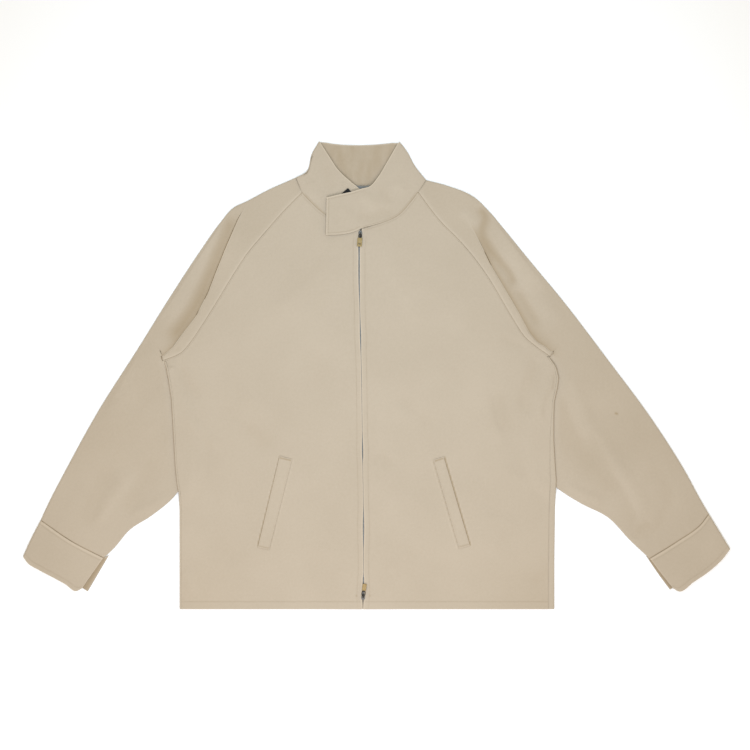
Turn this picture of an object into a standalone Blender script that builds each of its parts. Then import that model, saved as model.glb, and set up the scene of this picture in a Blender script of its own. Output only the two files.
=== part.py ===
"""A light cotton jacket, zipped up and laid flat on its back.

Raglan sleeves, a stand collar closed by a throat tab, two welt pockets, open
barrel cuffs and a two-way zip.  Every cut piece is one closed cloth wall.

Places in the tables are millimetres of the real garment: x across, to the
viewer's right, and up, measured from the hem towards the collar.  The wearer's
right is the viewer's left.  The finished part is in metres, with +Z up from the
surface that the jacket lies on and the origin at the middle of its underside.
"""

import math

import bmesh
import bpy
import numpy as np
from mathutils import Matrix, Vector
from mathutils.bvhtree import BVHTree

MM = 0.001

# ---------------------------------------------------------------- driving sizes
HALF_HEIGHT = 374.3   # half of the laid length, hem to collar peak
CLOTH = 1.2           # wall of the shell cloth
COLLAR_WALL = 1.8     # collar and cuffs are doubled and stiffened
TAPE_WALL = 1.0
WELT_WALL = 1.0
SEAM = 0.32           # clear gap between the edges of two sewn pieces
CLEAR = 0.35          # clear gap between two pieces that lie on each other
BODY_LAYER = 2.2      # middle of the back's wall to the middle of the front's
SLEEVE_LAYER = 2.4    # the same between the two sides of a sleeve
COLLAR_LAYER = 3.0
CUFF_LAYER = 2.6
SLEEVE_PUFF = 0.7     # how far air lifts the upper side of a sleeve
BODY_PUFF = 0.6       # and the fronts
AIR_ACROSS = 47.0     # the air under the fronts swells and fades over these lengths
AIR_ALONG = 63.0
AIR_SLANT = 95.0
AIR_START = 1.1
AIR_SIDE = 90.0       # and dies out this far from the side and from the hem
AIR_HEM = 50.0
SIDE_TOP = 380.0      # the side edge runs straight on above this height
CREASE_RISE = 2.3     # height of the tuck where each sleeve hangs from the shoulder
TUCK_LIP = 3.0        # its rounded top
TUCK_FOOT = 1.8       # its steep side
TUCK_ROOM = 6.0       # its least distance from the arm's outer edge
TUCK_START = 1.5      # rows from the neck to its beginning
TUCK_GROWTH = 3.0     # rows over which it grows
TUCK_END = 0.6        # its height at the underarm, as a share
NECK_CREASE = 0.85    # where it runs beyond its outline, as shares of the row: by the neck
UNDERARM_CREASE = 0.12
HIDDEN_MARGIN = 4.0   # a sleeve counts as hidden from just outside the body's edge
LIFT_MARGIN = 5.0     # the body is raised this far past the hidden sleeve
LIFT_RAMP = 24.0      # and slopes down to the surface over this much more
FLY_RISE = 1.9        # the front edges ride over the zip and its slider
FLY_FLAT = 20.0       # half width of the level part
FLY_SLOPE = 55.0      # width of the slope beside it
NECK_RISE = 1.1       # the collar seam lifts the fronts
NECK_SLOPE = 60.0
FLY_GAP = 2.4         # open slit between the two front edges
RAGLAN_ROWS = 9       # rows of faces along each raglan seam
SLEEVE_ROWS = 10      # rows from the underarm to the cuff
NECK_ROWS = 2         # rows of the back above the front neckline
UNDERARM_ROW = 400.0  # height on the zip line of the row that ends at the underarms

# Rows of the body, as heights on the zip line, and columns, from the side (0)
# to the zip (1).
BODY_ROWS = (0, 12, 60, 115, 160, 190, 220, 255, 290, 325, 355, 378, 390, UNDERARM_ROW)
BODY_COLUMNS = (0, 0.03, 0.08, 0.15, 0.24, 0.37, 0.52, 0.67, 0.80, 0.92, 1)

# ------------------------------------------------------------- outlines, (x, up)
ZIP_LINE = ((-21, 0), (-20, 51), (-20, 155), (-22, 286), (-23, 368), (-25, 446),
            (-27, 525), (-27, 579), (-24, 609))
BACK_COLLAR_TOP = ((-90, 748), (-66, 744), (-27, 742), (11, 744), (37, 747))
BACK_NECK = ((-122, 678), (72, 678))
TAB_TOP = ((-24, 672), (-40, 667), (-54, 664), (-79, 658))
TAB_FOOT = ((-23, 609), (-36, 603), (-58, 599), (-80, 598))

# Each side of the jacket as the viewer sees it.  Curves run upwards from the hem
# or the underarm, or down the arm.
SIDES = {
    "right": {  # the wearer's right, on the viewer's left
        "sign": -1,
        "side": ((-314, 0), (-314, 78), (-314, 158), (-315, 184), (-318, 200), (-321, 229),
                 (-323, 266), (-325, 302), (-327, 336), (-332, 368), (-335, 384), (-339, 397)),
        "side_seam": ((0, 3), (397, 3)),
        "raglan": ((-341, 397), (-309, 412), (-298, 425), (-278, 454), (-259, 484),
                   (-234, 525), (-207, 567), (-176, 604), (-146, 638), (-118, 666)),
        "crease": ((-342, 403), (-325, 417), (-309, 439), (-288, 466), (-268, 505),
                   (-254, 542), (-239, 579), (-220, 623), (-203, 652)),
        "outer": ((-128, 690), (-173, 670), (-205, 653), (-229, 641), (-248, 619), (-280, 574),
                  (-322, 510), (-382, 414), (-443, 318), (-496, 222), (-524, 168), (-536, 142)),
        "outer_at_underarm": (0.49, 0.57),
        "inner": ((-341, 389), (-333, 367), (-314, 331), (-302, 286), (-299, 242), (-306, 206),
                  (-320, 184), (-359, 150), (-393, 128), (-420, 97), (-436, 82)),
        "neck": ((-118, 666), (-105, 652), (-81, 631), (-54, 616), (-26, 609)),
        "collar_top": ((-90, 748), (-76, 726), (-59, 701), (-42, 685), (-26, 672)),
        "collar_fold": ((-128, 690), (-111, 700), (-103, 727), (-91, 748)),
        "cuff_seam": ((-436, 82), (-488, 109), (-536, 142)),
        "cuff_edge": ((-470, 34), (-479, 29), (-497, 40), (-518, 51.5), (-537, 61.5),
                      (-557, 74), (-564, 84)),
        "cuff_outer": ((-536, 142), (-551, 113), (-564, 84)),
        "cuff_inner": ((-436, 82), (-453, 58), (-470, 34)),
        "cuff_underlap": ((9, 4), (9, -6)),
        "pocket": ((-189, 99), (-171, 95), (-134, 240), (-154, 245)),
    },
    "left": {
        "sign": 1,
        "side": ((285, 0), (285, 78), (286, 158), (287, 187), (288, 206), (286, 235), (284, 270),
                 (284, 306), (285, 333), (290, 354), (292, 370), (288, 387), (276, 404)),
        "side_seam": ((0, 9.5), (215, 9.5), (320, 3), (404, 3)),
        "raglan": ((278, 404), (256, 420), (239, 434), (222, 459), (202, 493), (183, 525),
                   (156, 563), (129, 594), (104, 619), (67, 667)),
        "crease": ((279, 410), (270, 419), (257, 426), (244, 442), (227, 474), (207, 508),
                   (185, 545), (166, 584), (150, 617), (134, 654)),
        "outer": ((80, 686), (114, 677), (158, 658), (179, 638), (206, 606), (245, 558),
                  (298, 494), (371, 398), (442, 302), (493, 222), (522, 169), (532, 152)),
        "outer_at_underarm": (0.48, 0.55),
        "inner": ((284, 395), (272, 371), (262, 334), (258, 286), (259, 242), (270, 211),
                  (291, 193), (329, 169), (370, 148), (407, 110), (438, 81)),
        "neck": ((67, 667), (55, 651), (34, 629), (9, 618), (-22, 609)),
        "collar_top": ((36, 747), (17, 714), (1, 688), (-10, 676), (-24, 672)),
        "collar_fold": ((80, 686), (62, 709), (50, 731), (38, 747)),
        "cuff_seam": ((438, 81), (480, 107), (521, 137), (532, 152)),
        "cuff_edge": ((475, 34), (484, 28.5), (508, 43.5), (534, 61.5), (553, 79), (566, 96)),
        "cuff_outer": ((532, 152), (549, 124), (566, 96)),
        "cuff_inner": ((438, 81), (456, 57), (475, 34)),
        "cuff_underlap": ((-6, 4), (-5, -3)),
        "pocket": ((133, 97), (150, 102), (108, 244), (92, 239)),
    },
}

# Colour, roughness and metallic value of each finish.
FINISHES = {
    "cotton": ((0.58, 0.50, 0.395), 0.85, 0.0),
    "zip_tape": ((0.20, 0.235, 0.255), 0.80, 0.0),
    "label": ((0.30, 0.32, 0.34), 0.80, 0.0),
    "hook_tape": ((0.012, 0.012, 0.014), 0.95, 0.0),
    "dark_metal": ((0.055, 0.055, 0.060), 0.45, 0.9),
    "brass": ((0.56, 0.40, 0.17), 0.35, 1.0),
}


# -------------------------------------------------------------------- geometry
def smooth(value):
    """Ease from 0 to 1."""
    value = min(1.0, max(0.0, value))
    return value * value * (3.0 - 2.0 * value)


def lerp(start, end, share):
    return np.asarray(start, float) * (1.0 - share) + np.asarray(end, float) * share


def curve(points):
    """A smooth curve through points, as a function of its share of length."""
    points = np.array(points, dtype=float)
    steps = np.linalg.norm(np.diff(points, axis=0), axis=1)
    knots = np.concatenate(([0.0], np.cumsum(steps)))
    slopes = np.gradient(points, knots, axis=0, edge_order=1)

    def at(share):
        length = min(1.0, max(0.0, share)) * knots[-1]
        span = min(int(np.searchsorted(knots, length, side="right")) - 1, len(points) - 2)
        width = knots[span + 1] - knots[span]
        s = (length - knots[span]) / width
        near = (1 + 2 * s) * (1 - s) ** 2 * points[span] + s * (1 - s) ** 2 * width * slopes[span]
        far = s * s * (3 - 2 * s) * points[span + 1] + s * s * (s - 1) * width * slopes[span + 1]
        return near + far

    return at


def at_height(points, height):
    """The x of an outline that runs upwards, at one height."""
    return float(np.interp(height, [p[1] for p in points], [p[0] for p in points]))


def zip_x(height):
    return at_height(ZIP_LINE, height)


def patch(foot, head, start, end):
    """The Coons patch between four curves: foot and head run start to end."""
    def at(across, along):
        ruled = lerp(foot(across), head(across), along) + lerp(start(along), end(along), across)
        corners = lerp(lerp(foot(0), foot(1), across), lerp(head(0), head(1), across), along)
        return ruled - corners
    return at


def straight(start, end):
    return lambda share: lerp(start, end, share)


def crossing(start, end, points):
    """Where a row from start to end meets an outline, as a share of the row."""
    across = np.subtract(end, start)
    for near, far in zip(points, points[1:]):
        along = np.subtract(far, near)
        det = across[0] * -along[1] + along[0] * across[1]
        offset = np.subtract(near, start)
        share = (offset[0] * -along[1] + along[0] * offset[1]) / det
        reach = (across[0] * offset[1] - across[1] * offset[0]) / det
        if 0.0 <= reach <= 1.0 and 0.0 < share < 1.0:
            return share
    return None


def turned(vector):
    """A unit vector at right angles to a flat one."""
    length = math.hypot(vector[0], vector[1])
    return np.array((-vector[1] / length, vector[0] / length))


# --------------------------------------------------------------------- heights
SLEEVE_TOP = CLOTH / 2 + SLEEVE_LAYER
SLEEVE_LIFT = SLEEVE_TOP + CLOTH / 2 + CLEAR + 0.05


def hidden_edge(side):
    """Points along the stretch of the sleeve's inner edge that lies under the body."""
    edge = curve(side["inner"])
    points = [edge(step / 60) for step in range(40)]
    return [p for p in points
            if side["sign"] * (at_height(side["side"], p[1]) - p[0]) > -HIDDEN_MARGIN]


def lift(side, x, up):
    """How far the body is raised by the sleeve that lies under its side."""
    edge = hidden_edge(side)
    heights = [p[1] for p in edge]
    distance = min(math.hypot(x - p[0], up - p[1]) for p in edge)
    if min(heights) <= up <= max(heights):
        inner = float(np.interp(up, heights[::-1], [p[0] for p in edge][::-1]))
        if side["sign"] * (x - inner) >= 0:
            distance = 0.0
    return SLEEVE_LIFT * smooth(1.0 - max(0.0, distance - LIFT_MARGIN) / LIFT_RAMP)


def back_height(side, x, up):
    return CLOTH / 2 + lift(side, x, up)


def front_height(side, x, up):
    """Middle of a front's wall: over the back, the zip and the collar seam."""
    from_zip = abs(x - zip_x(up)) - FLY_FLAT
    fly = FLY_RISE * smooth(1.0 - from_zip / FLY_SLOPE)
    neck = curve(side["neck"])
    from_neck = min(math.hypot(x - p[0], up - p[1]) for p in map(neck, np.linspace(0, 1, 12)))
    neck_rise = NECK_RISE * smooth(1.0 - from_neck / NECK_SLOPE)
    from_side = abs(x - at_height(side["side"], min(up, SIDE_TOP)))
    swell = math.sin(x / AIR_ACROSS + AIR_START) * math.sin(up / AIR_ALONG + x / AIR_SLANT)
    air = BODY_PUFF * smooth(from_side / AIR_SIDE) * smooth(up / AIR_HEM) * (0.5 + 0.5 * swell)
    return back_height(side, x, up) + BODY_LAYER + max(fly, neck_rise) + air * (1 - fly / FLY_RISE)


# ------------------------------------------------------------ panels and grids
def body_grid(side):
    """Rows of flat points of one half of the body, from the hem to the neckline."""
    top = side["side"][-1]
    rows = []
    for level in BODY_ROWS:
        up = level * top[1] / UNDERARM_ROW
        inset = float(np.interp(up, [p[0] for p in side["side_seam"]],
                                [p[1] for p in side["side_seam"]]))
        start = (at_height(side["side"], up) - side["sign"] * inset, up)
        end = (zip_x(level), level)
        rows.append([lerp(start, end, share) for share in BODY_COLUMNS])
    raglan = curve(side["raglan"])
    neck = curve(side["neck"])
    zip_up = straight(rows[-1][-1], neck(1))
    chest = patch(straight(rows[-1][0], rows[-1][-1]), neck, raglan, zip_up)
    for row in range(1, RAGLAN_ROWS + 1):
        along = row / RAGLAN_ROWS
        rows.append([chest(share, along) for share in BODY_COLUMNS])
        rows[-1][0] = raglan(along)
        if row < RAGLAN_ROWS:
            level = rows[-1][-1][1]
            rows[-1][-1] = np.array((zip_x(level), level))
    return rows


def pull_in(grid, gap):
    """Move the edge points of a grid inwards, to leave the seam's gap."""
    rows, columns = len(grid), len(grid[0])
    moved = [[np.array(point, float) for point in row] for row in grid]

    def shift(row, column, to_row, to_column):
        inward = np.array(grid[to_row][to_column], float) - np.array(grid[row][column], float)
        moved[row][column] += inward / np.linalg.norm(inward) * gap

    for row in range(rows):
        shift(row, 0, row, 1)
        shift(row, columns - 1, row, columns - 2)
    for column in range(columns):
        shift(0, column, 1, column)
        shift(rows - 1, column, rows - 2, column)
    return moved


def place(point):
    """A point of the tables, in millimetres, as a place in the finished part."""
    return Vector((point[0], point[1] - HALF_HEIGHT, point[2])) * MM


def sheet_mesh(name, grids):
    """One mesh of the middle surface of a cut piece, welded from grids of points."""
    mesh_builder = bmesh.new()
    for grid in grids:
        rows = [[mesh_builder.verts.new(place(point)) for point in row] for row in grid]
        for low, high in zip(rows, rows[1:]):
            for column in range(len(low) - 1):
                mesh_builder.faces.new((low[column], low[column + 1],
                                        high[column + 1], high[column]))
    bmesh.ops.remove_doubles(mesh_builder, verts=mesh_builder.verts, dist=0.02 * MM)
    bmesh.ops.triangulate(mesh_builder, faces=mesh_builder.faces, quad_method="SHORT_EDGE")
    bmesh.ops.recalc_face_normals(mesh_builder, faces=mesh_builder.faces)
    mesh = bpy.data.meshes.new(name)
    mesh_builder.to_mesh(mesh)
    mesh_builder.free()
    return mesh


def add_object(name, mesh, finish):
    colour, roughness, metallic = FINISHES[finish]
    material = bpy.data.materials.new(name)
    material.use_nodes = True
    shader = material.node_tree.nodes["Principled BSDF"]
    shader.inputs["Base Color"].default_value = (*colour, 1.0)
    shader.inputs["Roughness"].default_value = roughness
    shader.inputs["Metallic"].default_value = metallic
    mesh.materials.append(material)
    piece = bpy.data.objects.new(name, mesh)
    bpy.context.scene.collection.objects.link(piece)
    return piece


def cloth_piece(name, grids, wall=CLOTH, finish="cotton"):
    """A cut piece: its middle surface with the wall laid half to each side."""
    mesh = sheet_mesh(name, grids)
    mesh.shade_smooth()
    piece = add_object(name, mesh, finish)
    solidify = piece.modifiers.new("wall", "SOLIDIFY")
    solidify.thickness = wall * MM
    solidify.offset = 0.0
    solidify.use_even_offset = True
    return piece


# ------------------------------------------------------------------------ body
def make_front(name, side):
    grid = [[(*p, front_height(side, *p)) for p in row] for row in body_grid(side)]
    for row in grid:
        level = row[-1][1]
        row[-1] = (row[-1][0] + side["sign"] * (FLY_GAP - SEAM) / 2, level, row[-1][2])
    return cloth_piece(name, [pull_in(grid, SEAM / 2)])


def fold_points(edge, outward, low, high, wall=CLOTH, steps=4):
    """A half circle from the lower wall round an edge to the upper wall, whose outer
    side just reaches the edge."""
    radius = (high - low) / 2
    points = []
    for step in range(steps + 1):
        angle = math.pi * (step / steps - 0.5)
        reach = radius * (math.cos(angle) - 1) - wall / 2
        points.append((edge[0] + outward[0] * reach, edge[1] + outward[1] * reach,
                       (low + high) / 2 + radius * math.sin(angle)))
    return points


def make_back():
    """The back, which turns over each side edge to meet the front's side seam."""
    halves = {key: body_grid(side) for key, side in SIDES.items()}
    grids = []
    main = []
    for left_row, right_row in zip(halves["right"], halves["left"]):
        middle = (zip_x(left_row[-1][1]), left_row[-1][1])
        row = [(*p, back_height(SIDES["right"], *p)) for p in left_row[:-1]]
        row.append((*middle, CLOTH / 2))
        row += [(*p, back_height(SIDES["left"], *p)) for p in right_row[-2::-1]]
        main.append(row)
    neckline = main[-1]
    for step in range(1, NECK_ROWS + 1):
        share = step / NECK_ROWS
        row = []
        for column, point in enumerate(neckline):
            across = column / (len(neckline) - 1)
            target = (*lerp(BACK_NECK[0], BACK_NECK[1], across), CLOTH / 2)
            row.append(lerp(point, target, share))
        main.append(row)
    shrunk = pull_in(main, SEAM / 2)
    for level in range(len(BODY_ROWS)):
        for end in (0, -1):
            shrunk[level][end][0] = main[level][end][0]
            shrunk[level][end][2] = main[level][end][2]
    grids.append(shrunk)
    for key, side in SIDES.items():
        wrap = []
        for level, row in enumerate(halves[key][:len(BODY_ROWS)]):
            seam = shrunk[level][0 if side["sign"] < 0 else -1]
            up = seam[1]
            low = seam[2]
            high = low + BODY_LAYER
            edge = (at_height(side["side"], up), up)
            turn = fold_points(edge, (side["sign"], 0), low, high)
            end = (seam[0] + side["sign"] * SEAM, up, high)
            wrap.append([seam, *turn, end])
        grids.append(wrap)
    return cloth_piece("back", grids)


# --------------------------------------------------------------------- sleeves
# Columns of a sleeve's upper side below the underarm, as shares of the way from
# the inner edge to the outer edge; the cuff has the same ones.
SLEEVE_COLUMNS = (0.0, 0.012, 0.06, 0.10, 0.125, 0.15, 0.32, 0.52, 0.72, 0.88)
FLAT_COLUMNS = SLEEVE_COLUMNS[5:]    # those beyond the tuck
FLOOR_COLUMNS = (0.72, 0.45, 0.15)   # the same on the side that lies below
SEAM_ROLL = 0.45       # the two edges of the underarm seam turn towards each other
ROLL_ROW = 12          # from this row on
NECK_SEAM = 0.3        # more room where the sleeve's fold meets the collar's


def sleeve_rows(side):
    """For each row: the inner end, the crease and the outer end, and whether it is
    above the underarm."""
    raglan = curve(side["raglan"])
    outer = curve(side["outer"])
    inner = curve(side["inner"])
    turn, after = side["outer_at_underarm"]
    rows = []
    for row in range(RAGLAN_ROWS + 1):
        share = row / RAGLAN_ROWS
        start, end = raglan(1 - share), outer(turn * share)
        meets = crossing(start, end, side["crease"])
        if meets is None:
            meets = NECK_CREASE if row < RAGLAN_ROWS else UNDERARM_CREASE
        rows.append((start, lerp(start, end, meets), end, True))
    for row in range(SLEEVE_ROWS):
        share = row / (SLEEVE_ROWS - 1)
        rows.append((inner(share), None, outer(lerp(after, 1.0, share)), False))
    return rows


def shoulder_row(side, number, start, crease, flat_end):
    """The upper side of a row above the underarm, with the tuck at its crease."""
    outward = (flat_end - start) / np.linalg.norm(flat_end - start)
    if np.linalg.norm(flat_end - crease) < TUCK_ROOM:
        crease = flat_end - outward * TUCK_ROOM
    rise = CREASE_RISE * smooth((number - TUCK_START) / TUCK_GROWTH)
    if number == RAGLAN_ROWS:
        rise *= TUCK_END
    width = np.linalg.norm(crease - start)
    seam_high = front_height(side, *start)
    edge_high = SLEEVE_TOP + rise
    points = [(*start, seam_high)]
    for share in (0.25, 0.55):
        points.append((*lerp(start, crease, share), lerp(seam_high, edge_high, share)))
    points.append((*(crease - outward * min(TUCK_LIP, width * 0.25)), edge_high))
    points.append((*crease, edge_high - 0.25 * rise))
    foot = crease + outward * TUCK_FOOT
    points.append((*foot, SLEEVE_TOP))
    for column in FLAT_COLUMNS[1:]:
        share = (column - FLAT_COLUMNS[0]) / (1 - FLAT_COLUMNS[0])
        air = SLEEVE_PUFF * math.sin(math.pi * share) * smooth(number / 5)
        points.append((*lerp(foot, flat_end, share), SLEEVE_TOP + air))
    return points


def sleeve_row(side, number, row, count):
    """The points of one row, from the upper inner end round to the lower one."""
    start, crease, end, above = row
    low = CLOTH / 2
    outward = (end - start) / np.linalg.norm(end - start)
    flat_end = end - outward * (SLEEVE_LAYER + CLOTH) / 2
    floor = [(*lerp(start, end, share), low) for share in FLOOR_COLUMNS]
    if above:
        upper = shoulder_row(side, number, start, crease, flat_end)
        start_low = back_height(side, *start)
        floor.append((*lerp(start, end, 0.05), lerp(low, start_low, 0.6)))
        floor.append((*start, start_low))
        return upper + fold_points(end, outward, low, SLEEVE_TOP)[::-1] + floor
    path = straight(start, end)
    if number == count - 1:
        path = curve(side["cuff_seam"])
        outward = (path(1) - path(0.9)) / np.linalg.norm(path(1) - path(0.9))
        floor = [(*path(share), low) for share in FLOOR_COLUMNS]
    upper = []
    for share in SLEEVE_COLUMNS:
        air = SLEEVE_PUFF * smooth((share - 0.25) * 2) * math.sin(math.pi * share)
        upper.append((*path(share), SLEEVE_TOP + air * (number < count - 1)))
    roll = SEAM_ROLL * smooth((number - ROLL_ROW) / 2)
    upper[0] = (*start, SLEEVE_TOP - roll)
    near = path(SLEEVE_COLUMNS[1])
    floor += [(*near, low), (*start, low + roll)]
    return upper + fold_points(end, outward, low, SLEEVE_TOP)[::-1] + floor


def make_sleeve(name, side):
    rows = sleeve_rows(side)
    grid = [sleeve_row(side, number, row, len(rows)) for number, row in enumerate(rows)]
    grid = pull_in(grid, SEAM / 2)
    for column, point in enumerate(grid[0]):
        down_arm = grid[1][column] - point
        grid[0][column] = point + down_arm / np.linalg.norm(down_arm) * NECK_SEAM
    return cloth_piece(name, [grid])


def make_cuff(name, side):
    """A cuff: one band folded at the outer edge, open at the inner one, where its
    lower end reaches past the upper."""
    seam = curve(side["cuff_seam"])
    edge = curve(side["cuff_edge"])
    inner = curve(side["cuff_inner"])
    outer = curve(side["cuff_outer"])
    band = patch(seam, edge, inner, outer)
    low = COLLAR_WALL / 2
    high = low + CUFF_LAYER
    near_lap, far_lap = (np.array(p, float) for p in side["cuff_underlap"])
    grid = []
    for along in (0.0, 0.25, 0.5, 0.75, 1.0):
        upper = [(*band(share, along), high) for share in SLEEVE_COLUMNS]
        tangent = band(1.0, along) - band(0.95, along)
        tangent = tangent / np.linalg.norm(tangent)
        turn = fold_points(band(1.0, along), tangent, low, high, COLLAR_WALL)[::-1]
        under = [(*band(share, along), low) for share in (*FLOOR_COLUMNS, 0.0)]
        lap = band(0.0, along) + lerp(near_lap, far_lap, along)
        grid.append(upper + turn + under + [(*lap, low)])
    return cloth_piece(name, [pull_in(grid, SEAM / 2)], COLLAR_WALL)


# ---------------------------------------------------------------------- collar
COLLAR_RISE = (0.0, 0.2, 0.4, 0.6, 0.8, 1.0)
FLAT_COLLAR = COLLAR_WALL / 2
COLLAR_FOLDED = FLAT_COLLAR + COLLAR_LAYER
TAB_HEIGHT = 8.4       # middle of the tab's wall where it crosses the patch
TAB_COLUMNS = (1.0, 0.94, 0.75, 0.5, 0.25)
CROSSED = -34.0        # the tab is level from its end to here,
CROSSED_END = -24.0    # a little lower at the zip,
CROSSED_HIGH = 7.7
TAB_CLEAR = 25.0       # and joins the collar's own height here


def collar_bow(side, share):
    """How far the folded edge of the collar bows from a straight line."""
    fold = curve(side["collar_fold"])
    return fold(share) - lerp(fold(0), fold(1), share)


def front_collar_stations(side):
    """Columns of one front half, from its front end to its folded edge."""
    neck = curve(side["neck"])
    top = curve(side["collar_top"])
    neck_length = sum(np.linalg.norm(neck((i + 1) / 20) - neck(i / 20)) for i in range(20))
    shoulder = np.array(side["neck"][0], float)
    fold = np.array(side["collar_fold"][0], float)
    shoulder_length = np.linalg.norm(fold - shoulder)
    total = neck_length + shoulder_length
    stations = []
    for share in BODY_COLUMNS[::-1]:
        reach = (shoulder_length + neck_length * share) / total
        foot = neck(share)
        stations.append((foot, top(reach), reach, front_height(side, *foot)))
    half = lerp(fold, shoulder, 0.5)
    stations.append((half, top(shoulder_length * 0.5 / total), shoulder_length * 0.5 / total,
                     lerp(stations[-1][3], COLLAR_FOLDED, 0.5)))
    columns = []
    for foot, head, reach, foot_high in stations:
        column = []
        for rise in COLLAR_RISE:
            flat = lerp(foot, head, rise) + collar_bow(side, rise) * (1 - reach) ** 4
            near_zip = smooth(1 - reach / 0.99) if reach < 0.99 else 0.0
            high = lerp(foot_high, lerp(stations[0][3], COLLAR_FOLDED, near_zip), rise)
            column.append(np.array((*flat, high)))
        columns.append(column)
    return columns


def collar_fold_columns(side):
    """The turn at the side of the neck, from the upper to the lower layer."""
    fold = curve(side["collar_fold"])
    shoulder = np.array(side["neck"][0], float)
    columns = None
    for rise in COLLAR_RISE:
        edge = fold(rise)
        along = fold(min(1.0, rise + 0.05)) - fold(max(0.0, rise - 0.05))
        outward = turned(along)
        if outward[0] * side["sign"] < 0:
            outward = -outward
        if rise == 0.0:
            outward = (edge - shoulder) / np.linalg.norm(edge - shoulder)
        points = fold_points(edge, outward, FLAT_COLLAR, COLLAR_FOLDED, COLLAR_WALL)[::-1]
        if columns is None:
            columns = [[] for _ in points]
        for column, point in zip(columns, points):
            column.append(np.array(point))
    return columns


def back_collar_columns():
    """The back of the collar, flat on the surface, from the viewer's right to left."""
    right, left = SIDES["left"], SIDES["right"]
    top = curve(BACK_COLLAR_TOP[::-1])
    corners = (right["collar_fold"][0], BACK_NECK[1], BACK_NECK[0], left["collar_fold"][0])
    feet = [lerp(corners[0], corners[1], 0.6), np.array(corners[1], float)]
    feet += [lerp(corners[1], corners[2], step / 8) for step in range(1, 8)]
    feet += [np.array(corners[2], float), lerp(corners[3], corners[2], 0.6)]
    columns = []
    for number, foot in enumerate(feet):
        share = (number + 1) / (len(feet) + 1)
        column = []
        for rise in COLLAR_RISE:
            bow = collar_bow(right, rise) * max(0.0, 1 - 3 * share) ** 2
            bow = bow + collar_bow(left, rise) * max(0.0, 3 * share - 2) ** 2
            column.append(np.array((*(lerp(foot, top(share), rise) + bow), FLAT_COLLAR)))
        columns.append(column)
    return columns


def raise_tab(column):
    """Lift the closing end of the collar over the end that it crosses."""
    for point in column:
        if point[0] < CROSSED_END:
            target = np.interp(point[0], (CROSSED, CROSSED_END), (TAB_HEIGHT, CROSSED_HIGH))
        else:
            share = smooth((point[0] - CROSSED_END) / (TAB_CLEAR - CROSSED_END))
            target = lerp(CROSSED_HIGH, point[2], share)
        point[2] = max(point[2], float(target))


def make_collar():
    """One band: throat tab, one front, round the back of the neck, other front."""
    tab_top, tab_foot = curve(TAB_TOP), curve(TAB_FOOT)
    columns = []
    for share in TAB_COLUMNS:
        columns.append([np.array((*lerp(tab_foot(share), tab_top(share), rise), TAB_HEIGHT))
                        for rise in COLLAR_RISE])
    columns += front_collar_stations(SIDES["left"])
    for column in columns:
        raise_tab(column)
    columns += collar_fold_columns(SIDES["left"])
    columns += back_collar_columns()
    columns += collar_fold_columns(SIDES["right"])[::-1]
    columns += front_collar_stations(SIDES["right"])[::-1]
    return cloth_piece("collar", [pull_in(columns, SEAM / 2)], COLLAR_WALL)


# ------------------------------------------------------- trim laid on a panel
def height_on(panel, x, up):
    """Height of a panel's middle surface at one place, in millimetres."""
    tree = BVHTree.FromPolygons([v.co for v in panel.data.vertices],
                                [p.vertices[:] for p in panel.data.polygons])
    hit = tree.ray_cast(Vector((x, up - HALF_HEIGHT, 50)) * MM, Vector((0, 0, -1)))
    return hit[0].z / MM


def make_pocket(name, side, panel):
    """A welt: a strip whose points are the front's, moved out."""
    corners = side["pocket"]
    lift_off = CLOTH / 2 + CLEAR + WELT_WALL / 2
    grid = []
    for row in range(7):
        ends = (lerp(corners[0], corners[3], row / 6), lerp(corners[1], corners[2], row / 6))
        grid.append([(*p, height_on(panel, *p) + lift_off) for p in (ends[0], lerp(*ends, 0.5),
                                                                     ends[1])])
    return cloth_piece(name, [grid], WELT_WALL)


# ------------------------------------------------------------------------- zip
BACK_TOP = CLOTH
SLIDER_PLATE = 1.0
SLIDER_LOW = BACK_TOP + 0.3
TAPE_MIDDLE = SLIDER_LOW + SLIDER_PLATE + 0.3 + TAPE_WALL / 2
TAPE_EDGE = 12.0
TAPE_ENDS = (7.0, 602.0)
FRONT_TOP = CLOTH / 2 + BODY_LAYER + FLY_RISE + CLOTH / 2
SLIDER_HIGH = FRONT_TOP + 0.3
SLIDER_WIDTH = 8.0
SLIDER_LENGTH = 13.5
NECK_WIDTH = 1.4
CROWN_WIDTH = 2.0
CROWN_LENGTH = 7.0
CROWN_HOLE = 1.7
CROWN_BAR = 0.8
PIN = 1.0              # square pin of the pull, inside the crown
PULL_WALL = 1.0
ARM_OUT = 2.6          # half width across the pull's two arms
ARM_IN = 1.5
TOP_SLIDER = 598.5     # height of the slider's middle
FOOT_SLIDER = 21.5
PLATE_START = 5.0      # from the pin to the pull's plate
TOP_PLATE = (19.0, 8.0)     # from the pin to the plate's end, and its width
FOOT_PLATE = (17.5, 6.6)


def make_tape(name, side):
    grid = []
    for step in range(13):
        up = TAPE_ENDS[0] + (TAPE_ENDS[1] - TAPE_ENDS[0]) * step / 12
        edge = zip_x(up) + side["sign"] * FLY_GAP / 2
        grid.append([(edge, up, TAPE_MIDDLE), (edge + side["sign"] * TAPE_EDGE, up, TAPE_MIDDLE)])
    return cloth_piece(name, [grid], TAPE_WALL, "zip_tape")


def prism(mesh_builder, outline, axis_from, axis_to, as_point):
    """A solid swept from a flat outline between two places on its axis."""
    near = [mesh_builder.verts.new(place(as_point(p, axis_from))) for p in outline]
    face = mesh_builder.faces.new(near)
    swept = bmesh.ops.extrude_face_region(mesh_builder, geom=[face])
    moved = [item for item in swept["geom"] if isinstance(item, bmesh.types.BMVert)]
    shift = place(as_point((0, 0), axis_to)) - place(as_point((0, 0), axis_from))
    bmesh.ops.translate(mesh_builder, verts=moved, vec=shift)


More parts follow.
